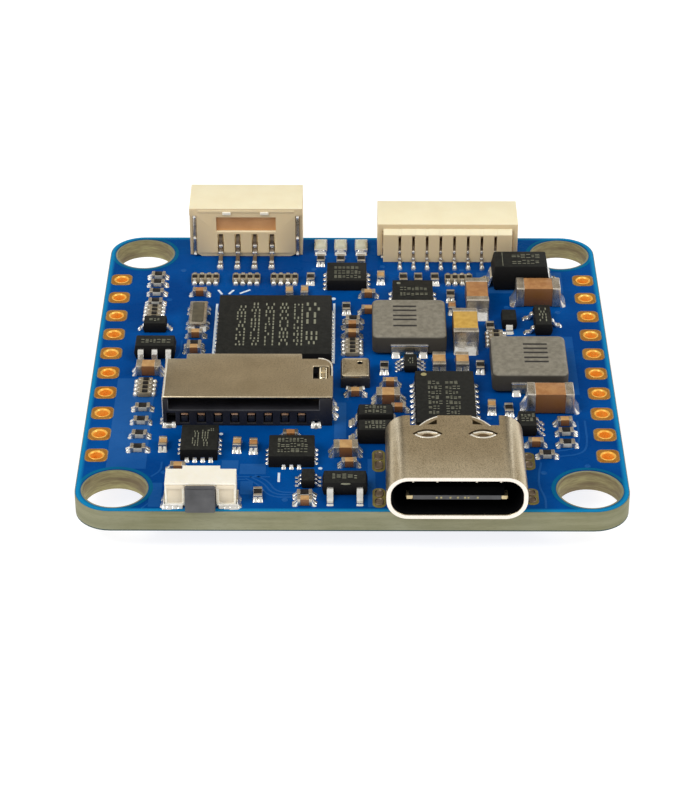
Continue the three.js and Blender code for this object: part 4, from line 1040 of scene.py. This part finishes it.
# body: lift, draft, corner and bevel, after width, depth and height where they aren't the node's
# marks: seed, rows, x, y, pitch, length, size, turn, stroke
# dot: x, y, radius, upper radius, depth, height, material
# solder: directions, places along the side, width, reach, height
# leads: directions, distance, places along the side, width, reach, lift, foot
# straps: width, reach, lift
CHIPS = {
    "processor": dict(
        body=(0.06, 0.03, 0.12, 0.05), dot=(-3.2, -3.2, 0.3, 0.27, 0.004, 0.004, 0),
        marks=[(11, 5, -0.35, -0.1, 1.0, 5.6, 0.62, 90, 0.1), (12, 1, 2.55, 1.3, 1.0, 2.6, 1.2, 90, 0.16),
               (13, 1, 2.6, -2.0, 1.0, 1.5, 0.8, 90, 0.12)],
        solder_and_highlights=[(SIDEWAYS + FORWARDS + BACKWARDS, evenly(14, 0.5), 0.24, 0.16, 0.16)]),
    "motion_sensor_left": dict(
        body=FLAT, marks=[(21, 2, 0.05, -0.1, 0.62, 1.9, 0.4, 90, 0.055), (22, 1, 0.75, 0.95, 0.5, 0.4, 0.3, 90, 0.05)],
        solder_and_highlights=[(SIDEWAYS, (-0.62, -0.12, 0.4, 0.92), 0.2, 0.2, 0.22), (FORWARDS, FOUR, 0.24, 0.22, 0.26),
                (BACKWARDS, THREE, 0.22, 0.2, 0.22)]),
    "motion_sensor_right": dict(
        body=FLAT, marks=[(31, 3, 0.05, 0.05, 0.62, 1.9, 0.38, 0, 0.055)],
        solder_and_highlights=[(SIDEWAYS, FOUR, 0.2, 0.2, 0.2), (FORWARDS, THREE, 0.22, 0.2, 0.24),
                (BACKWARDS, THREE, 0.22, 0.2, 0.2)]),
    "video_overlay_chip": dict(
        body=(0.05, 0.05, 0.06, 0.04), dot=(-1.4, 2.75, 0.2, 0.19, 0.002, 0.008, 3),
        marks=[(41, 7, -0.72, -0.15, 0.62, 0.85, 0.36), (42, 7, 0.5, -0.15, 0.62, 0.95, 0.36)],
        solder_and_highlights=[(SIDEWAYS, evenly(10, 0.65), 0.24, 0.3, 0.3)]),
    "switching_regulator": dict(
        body=FLAT, dot=(-1.0, 1.0, 0.15, 0.14, 0.002, 0.007, 1), marks=[(51, 2, 0.05, -0.15, 0.75, 1.9, 0.4)],
        solder_and_highlights=[(SIDEWAYS, evenly(4, 0.65), 0.26, 0.24, 0.24), (FORWARDS, (-0.5, 0.5), 0.3, 0.2, 0.2)]),
    "charge_chip": dict(
        body=FLAT, marks=[(61, 3, 0.05, -0.1, 0.65, 1.9, 0.38)],
        solder_and_highlights=[(SIDEWAYS, evenly(4, 0.65), 0.28, 0.26, 0.26)]),
    "load_switch": dict(body=(0.06, 0.04, 0.05, 0.06), details=load_switch_leads),
    "linear_regulator": dict(
        body=(2.85, 1.6, 1.1, 0.08, 0.1, 0.05, 0.04), marks=[(71, 1, 0, -0.05, 0.5, 1.9, 0.42)],
        leads=[(FORWARDS, 0.8, (-0.95, 0, 0.95), 0.4, 0.6, 0.78, 0.3),
               (BACKWARDS, 0.8, (-0.95, 0, 0.95), 0.4, 0.6, 0.5, 0.35)]),
    "transistor_front": dict(
        body=(2.9, 1.6, 1.0, 0.08, 0.1, 0.05, 0.04), marks=[(72, 1, 0, 0.05, 0.5, 1.6, 0.5, 0, 0.07)],
        leads=[(FORWARDS, 0.8, (-0.94, 0.96), 0.42, 0.95, 0.62, 0.35), (BACKWARDS, 0.8, (0,), 0.42, 0.75, 0.5, 0.35)],
        details=transistor_details),
    "transistor_right": dict(
        body=(1.3, 2.9, 0.95, 0.08, 0.1, 0.05, 0.04), marks=[(73, 1, 0, 0, 0.5, 1.8, 0.5, 90, 0.07)],
        leads=[((180,), 0.65, (-0.95, 0.95), 0.4, 0.6, 0.45, 0.35), ((0,), 0.65, (0,), 0.4, 0.6, 0.45, 0.35)]),
    "buffer_chip": dict(
        body=(1.25, 1.95, 0.88, 0.08, 0.07, 0.05, 0.04), marks=[(74, 2, 0.05, 0.1, 0.5, 0.9, 0.36)],
        leads=[((180,), 0.62, (-0.65, 0.65), 0.26, 0.42, 0.4, 0.22),
               ((0,), 0.62, (-0.65, 0, 0.65), 0.26, 0.42, 0.4, 0.22)]),
    "reference_chip": dict(
        body=(0.95, 1.7, 0.6, 0.08, 0.07, 0.05, 0.04), marks=[(75, 1, 0, 0, 0.5, 0.9, 0.34, 90)],
        leads=[(SIDEWAYS, 0.47, THREE, 0.22, 0.46, 0.3, 0.2)]),
    "power_diode": dict(
        body=(4.1, 2.6, 2.0, 0.1, 0.18, 0.1, 0.06), marks=[(81, 2, 0.35, 0, 0.85, 1.9, 0.5)], straps=(1.5, 0.55, 0.9),
        details=diode_line),
    **{name: dict(body=(2.45, 1.45, 1.15, 0.06, 0.1, 0.06, 0.05), marks=[(seed, 2, 0.05, 0.02, 0.52, 1.5, 0.34)],
                  straps=(0.85, 0.36, 0.5)) for name, seed in (("diode_upper", 82), ("diode_lower", 83))},
    "diode_left": dict(
        body=(1.65, 1.2, 0.8, 0.05, 0.06, 0.06, 0.04), marks=[(84, 1, 0, 0, 0.5, 0.8, 0.4)], straps=(0.4, 0.26, 0.3)),
    "diode_right": dict(body=(1.55, 1.1, 0.8, 0.05, 0.06, 0.06, 0.04), straps=(0.5, 0.42, 0.35), turn=90),
}


# ------------------------------------------------------------------ inductors, large capacitors and other packages
def make_inductor(name, turn, across, bars):
    """A pressed core in two clips, with five plain bars where a value is printed."""
    middle, (width, _, height) = seat(name)
    shape = Shape()
    core = ((0.12, 0.1), (0.0, 0.22), (0.0, height - 0.2), (0.05, height - 0.1), (0.24, height - 0.01), (0.3, height))
    shape.stack(width, width, 0.45, core, steps=5, tighten=0.4)
    for at in bars:
        stroke = bar(at - 0.095, across - 0.82, 0.19, 1.64)
        shape.prism(stroke, height, height + 0.012, "z", 0, 1, turned(0, 0, turn))
    for side in SIDES:
        face = side * width / 2
        rim = face + side * 0.045
        shape.block(*slab(0, 1.27, face - 0.1, face + 0.1, 0.0, 0.74), 0.05, 0.05, 2)
        shape.block(*slab(0, 1.3, rim - 0.095, rim + 0.095, 0.76, 0.9), 0.03, 0.05, 3)
        for x in (-0.95, 0, 0.95):
            shape.fillet(x, face + side * 0.08, 90 * side, 0.5, 0.34, 0.4, 3)
    make_piece(f"{name}_core", shape, [FERRITE, INK, STEEL, SOLDER], name, at=middle)


def make_capacitor(name, look, turn=0, end=0.6):
    middle, size = seat(name)
    length, width = (size.y, size.x) if turn else (size.x, size.y)
    shape = Shape()
    body = slab(0, length / 2 - end + 0.1, 0.03 - width / 2, width / 2 - 0.03, 0.06, size.z - 0.03)
    shape.block(*body, 0.08, 0.08)
    caps = pair(0, length / 2 - end, length / 2, -width / 2, width / 2, 0.02, size.z)
    for cap, (side, out) in zip(caps, LEFT_RIGHT):
        shape.block(*cap, 0.09, 0.1, 1, steps=3)
        shape.fillet(side * (length / 2 - 0.02), 0, out, width * 0.9, 0.42, size.z * 0.55, 2)
    make_piece(f"{name}_block", shape, [look, TIN, SOLDER], name, at=middle, turn=turn)


def make_crystal():
    middle, (width, depth, height) = seat("crystal")
    shape = Shape()
    shape.block(*slab(0, width / 2 - 0.13, 0.1 - depth / 2, depth / 2 - 0.1, 0.04, height - 0.08), 0.04, 0.1)
    shape.block(*slab(0, width / 2 - 0.34, 0.36 - depth / 2, depth / 2 - 0.36, height - 0.12, height), 0.04, 0.12, 1)
    for side, turn in LEFT_RIGHT:
        for end in SIDES:
            shape.fillet(side * (width / 2 - 0.34), end * (depth / 2 - 0.12), 90 * end, 0.46, 0.26, 0.42, 2)
            for back in (0.35, 0.95):
                shape.fillet(side * (width / 2 - 0.15), end * (depth / 2 - back), turn, 0.42, 0.22, 0.42, 2)
    make_piece("crystal_can", shape, [TIN, CRYSTAL_LID, SOLDER], "crystal", at=middle)


def make_led(name):
    middle, (width, depth, height) = seat(name)
    shape = Shape()
    shape.block(*slab(0, width / 2, 0.1 - depth / 2, depth / 2 - 0.1, 0.02, 0.2), 0.03, 0.04, 1)
    for side in SIDES:
        y = side * (depth / 2 - 0.13)
        shape.block(*slab(0, width / 2, y - 0.13, y + 0.13, 0.01, 0.36), 0.05, 0.08, 2)
        shape.fillet(0, side * depth / 2, 90 * side, width * 0.8, 0.26, 0.16, 2)
    dome = ((0.0, 0.18), (0.02, 0.34), (0.06, 0.46), (0.14, 0.55), (0.26, height))
    shape.stack(width - 0.06, depth - 0.5, 0.16, dome)
    make_piece(f"{name}_lens", shape, [LENS, ALUMINA, SOLDER], name, at=middle)


def make_pressure_sensor():
    middle, size = seat("pressure_sensor_base")
    base, lid = Shape(), Shape()
    base.package(*size, 0.03, 0.0, 0.08, 0.03)
    for x in THREE:
        base.fillet(x, -size.y / 2, -90, 0.24, 0.18, 0.18, 1)
    make_piece("pressure_sensor_body", base, [BLACK, SOLDER], "pressure_sensor_base", at=middle)
    low, high = node_box("pressure_sensor_lid")
    (width, depth), (x, y) = (high - low).xy, (low + high).xy / 2
    bottom, top, port = low.z - BOARD_TOP, high.z - BOARD_TOP, (0.53, -1.45)
    rings = [rounded_ring(width - 2 * pull, depth - 2 * pull, 0.16, z, x, y, 5) for pull, z in (
        (0.04, bottom), (0.0, bottom + 0.03), (0.0, top - 0.05), (0.02, top - 0.02), (0.06, top))]
    for radius, z in ((0.22, top), (0.18, top - 0.04), (0.18, bottom)):
        rings.append(circle(radius, z, *port, len(rings[0]), phase=0.5))
    lid.loft(rings, closed=True)
    # The near-black plug inside the port is painted shade.
    lid.spin(((0.185, bottom + 0.02), (0.185, top - 0.015)), *port, 16, 1)
    make_piece("pressure_sensor_cap", lid, [STEEL, BLACK_AND_PAINTED_SHADE], "pressure_sensor_lid")


# ------------------------------------------------------------------ small chip parts with no node
# Sizes are length, width and height. Parts are (size, x, y, 1 if they lie along Y), arrays (x, y, turn).
CAP, RES, MID, WIDE = (1.0, 0.54, 0.52), (1.0, 0.58, 0.4), (1.65, 0.9, 0.8), (1.6, 1.0, 0.8)
SMALL_PARTS = {
    "left": [*[(RES, -14.05, y, 0) for y in (-5.9, -7.53, -9.2, -10.83)], (MID, -13.95, -1.25, 0),
             *[(RES, -14.05, y, 0) for y in (8.0, 9.35, 10.65, 11.75)]],
    "front": [(CAP, -12.42, -10.38, 1), (CAP, -7.56, -10.42, 1), (CAP, -6.48, -10.55, 1), (CAP, -11.3, -13.1, 0),
              (RES, -6.03, -16.05, 1), (CAP, -4.07, -9.27, 0), (CAP, -3.02, -16.93, 0), (RES, -3.05, -16.1, 0),
              (WIDE, -0.42, -11.15, 0), (CAP, -0.2, -12.58, 0), (CAP, 0.2, -4.05, 0)],
    "right_front": [(CAP, 14.13, -7.63, 0), (RES, 14.14, -8.8, 0), (RES, 14.13, -10.2, 0), (CAP, 12.07, -10.17, 0),
                    (RES, 12.72, -11.5, 0), (CAP, 9.36, -5.8, 1), (RES, 10.5, -6.05, 1)],
    "centre": [(RES, 8.8, -0.65, 1), (RES, 2.2, -0.75, 1), (CAP, 2.57, -2.8, 0), (WIDE, 2.42, -4.75, 0),
               (CAP, 3.1, -6.0, 0), (MID, 5.97, -0.5, 1), (MID, 7.56, -0.5, 1)],
    "middle": [(RES, -0.42, 7.2, 1), (RES, 0.05, 5.6, 0), (CAP, 0, 4.75, 0), (CAP, 0, 3.6, 0), (CAP, 1.15, 9.1, 0),
               (CAP, 1.15, 6.85, 0)],
    "crystal": [(CAP, -10.95, 9.3, 0), (CAP, -10.98, 3.55, 0), (RES, -11.0, 2.2, 0), (CAP, -11.0, 1.5, 0)],
    "back": [(RES, -3.02, 11.4, 1), (CAP, -4.52, 9.3, 1), (CAP, -3.43, 9.35, 1), (CAP, 2.07, 11.5, 1),
             (RES, 3.7, 11.4, 1), (RES, 4.78, 11.4, 1), (RES, 5.98, 11.4, 1), (RES, 7.05, 9.0, 1),
             (CAP, 7.1, 7.2, 1), (RES, 9.7, 4.6, 1)],
    "led": [(RES, x, 14.1, 1) for x in (-2.3, -0.85, 0.66)],
}
ARRAYS = [*[(x, 11.35, 0) for x in (-10.64, -7.67, -4.92, 7.7)], (10.05, 3.0, 90), (0.0, 1.85, 90),
          (-14.05, -3.4, 90), (-14.05, 6.4, 90)]


def chip_part(kind, jitter):
    """A two-terminal chip part lying along X: body, plated ends and the solder around them."""
    length, width, height = kind
    end, spread = (0.24, 0.29) if length < 1.2 else (0.4, 0.36)
    top = height - (0.05 if kind is RES else 0.015)
    shape = Shape()
    shape.block(*slab(0, length / 2 - 0.06, 0.015 - width / 2, width / 2 - 0.015, 0.03, top), 0.025, 0.03, 1)
    if kind is RES:
        shape.block(*slab(0, length / 2 - end, 0.03 - width / 2, width / 2 - 0.03, top - 0.03, height), 0.02, 0.04, 2)
    caps = pair(0, length / 2 - end, length / 2, -width / 2, width / 2, 0.02, height)
    for cap, (side, turn) in zip(caps, LEFT_RIGHT):
        shape.block(*cap, 0.035, 0.05, 0, steps=3)
        reach = spread * jitter.uniform(0.85, 1.15)
        rise = height * jitter.uniform(0.8, 0.95)
        for k in SIDES:
            at = side * (length / 2 - 0.03), k * width * 0.28
            shape.fillet(*at, turn, width * 0.4, reach * jitter.uniform(0.9, 1.1), rise, 3)
    return shape


def make_small_parts():
    jitter = random.Random(5)
    for group, parts in SMALL_PARTS.items():
        for number, (kind, x, y, upright) in enumerate(parts, 1):
            label, slot = ("resistor", "mould_compound") if kind is RES else ("capacitor", "tan_ceramic")
            body = ALUMINA if kind is RES else jitter.choice((TAN, TAN, BROWN))
            shape = chip_part(kind, jitter)
            turn = 90 * upright + jitter.uniform(-1.6, 1.6)
            make_piece(f"{label}_{group}_{number}", shape, [TIN, body, RESISTOR, SOLDER], at=(x, y), turn=turn)


def make_arrays():
    for number, (x, y, turn) in enumerate(ARRAYS, 1):
        shape = Shape()
        shape.block(*slab(0, 1.0, -0.44, 0.44, 0.03, 0.36), 0.03, 0.05, 1)
        for at in evenly(4, 0.51):
            shape.block(*slab(at, 0.18, -0.2, 0.17, 0.33, 0.41), 0.02, 0.04, 2)
            for side in SIDES:
                shape.block(*slab(at, 0.14, side * 0.38 - 0.12, side * 0.38 + 0.12, 0.03, 0.42), 0.05, 0.08, steps=3)
                lobe = ((0, 0.0), (0, 0.1), (0.05, 0.24), (0.13, 0.3))
                shape.stack(0.4, 0.4, 0.18, lobe, at, side * 0.6, 3, tighten=0.9)
        looks = [TIN, ARRAY_BODY, RESISTOR, SOLDER]
        make_piece(f"resistor_array_{number}", shape, looks, at=(x, y), turn=turn)


# ------------------------------------------------------------------ studio
def make_floor():
    paper = Look("floor_paper", 0.9, specular=0.1)
    cloud = paper.span(paper.noise(40.0, 2.0), 0.3, 0.7, 0.0, 1.0)
    paper.feed("Base Color", paper.blend(cloud, (0.33, 0.33, 0.33, 1), (0.31, 0.31, 0.31, 1)))
    paper.shader.inputs["Emission Color"].default_value = (1, 1, 1, 1)
    paper.shader.inputs["Emission Strength"].default_value = 0.84
    reach, level = 3.0, -0.0015
    corners = [(x, y, level) for x, y in bar(-reach, -reach, 2 * reach, 2 * reach)]
    floor = plain_object("floor", corners, [(0, 1, 2, 3)], recalculate=False)
    floor.data.materials.append(paper.material)


def make_light():
    world = bpy.data.worlds.new("studio")
    bpy.context.scene.world = world
    world.use_nodes = True
    studio = Nodes(world.node_tree)
    axis = studio.axes(studio.node("TexCoord", {}, "Generated"))
    ramp = studio.node("ValToRGB", {"Fac": axis["Z"]})
    stops = ((0.0, 0.95), (0.3, 0.75), (0.6, 0.62), (0.8, 0.7), (1.0, 0.75))
    for position, _ in stops[1:-1]:
        ramp.color_ramp.elements.new(position)
    for element, (_, tone) in zip(ramp.color_ramp.elements, stops):
        element.color = (tone, tone, tone * 0.99, 1)

    def fade(value, start, end, low=0.0, high=1.0):
        return studio.span(value, start, end, low, high, "SMOOTHSTEP")

    def between(value, start, full, waning, end):
        return studio.math("MULTIPLY", fade(value, start, full), fade(value, waning, end, 1.0, 0.0))

    # A warm, darker panel high behind the board gives flat metal its brown tone.
    panel = studio.math("MULTIPLY", between(axis["Z"], 0.16, 0.4, 0.68, 0.92), fade(axis["Y"], 0.3, 0.62))
    sky = studio.blend(panel, ramp.outputs["Color"], (0.36, 0.31, 0.24, 1))
    # A dark strip and a white one on either side draw the lines along rounded metal.
    aside, ahead = studio.math("ABSOLUTE", axis["X"]), fade(axis["Y"], 0.5, 0.6)
    for inner, outer, tone in ((0.2, 0.36, (0.03, 0.03, 0.03, 1)), (0.41, 0.5, (1.9, 2.05, 2.3, 1))):
        strip = between(aside, inner, inner + 0.03, outer - 0.02, outer)
        sky = studio.blend(studio.math("MULTIPLY", strip, ahead), sky, tone)
    background = studio.node("Background", {"Color": sky, "Strength": 1.0}, 0)
    studio.node("OutputWorld", {"Surface": background})

    for name, place, size, power in (("key", (-0.3, -0.22, 0.5), 0.3, 1.25), ("fill", (0.42, -0.1, 0.38), 0.25, 0.7)):
        data = bpy.data.lights.new(name, "AREA")
        data.shape, data.size, data.energy = "DISK", size, power
        lamp = linked(name, data)
        lamp.location = place
        lamp.rotation_euler = (-Vector(place)).to_track_quat("-Z", "Y").to_euler()


def make_camera():
    """The view from the front, a third of a right angle above the board. Lengths are in millimetres."""
    azimuth, elevation, roll = (math.radians(angle) for angle in (-0.024, 32.642, 0.13))
    target, distance = Vector((-0.152, -4.672, BOARD_TOP)), 180.409
    turn = Matrix.Rotation(azimuth, 4, "Z") @ Matrix.Rotation(math.pi / 2 - elevation, 4, "X")
    turn = turn @ Matrix.Rotation(roll, 4, "Z")
    data = bpy.data.cameras.new("camera")
    data.lens, data.sensor_width, data.clip_start = 120.3, 36, 0.01
    camera = linked("camera", data)
    camera.matrix_world = Matrix.Translation((target + turn.col[2].xyz * distance) * MM) @ turn
    bpy.context.scene.camera = camera


make_bare_board()
make_edge_pads()
make_relief()
make_legend()
make_usb_shell()
make_spring_tabs()
make_usb_inside()
make_usb_legs()
make_card_cover()
make_card_base()
make_card_solder()
make_button()
make_plug_a()
make_plug_b()
for chip, entry in CHIPS.items():
    make_chip(chip, **entry)
make_inductor("inductor_left", 90, 0.3, (-1.15, -0.32, 0.22, 0.93, 1.47))
make_inductor("inductor_right", -90, 0.47, (-1.32, -0.77, -0.23, 0.41, 0.95))
make_capacitor("capacitor_front_right", BROWN)
make_capacitor("capacitor_back_right", BROWN)
make_capacitor("capacitor_back_centre", BROWN, 90)
make_capacitor("capacitor_centre", YELLOW, 90, 0.5)
make_crystal()
for led in ("led_left", "led_middle", "led_right"):
    make_led(led)
make_pressure_sensor()
make_small_parts()
make_arrays()
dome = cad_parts["button_dome"]
dome.data.materials.clear()
dome.data.materials.append(STEEL_BRIGHT)
make_floor()
make_light()
make_camera()
bpy.context.scene.view_settings.view_transform = "Standard"
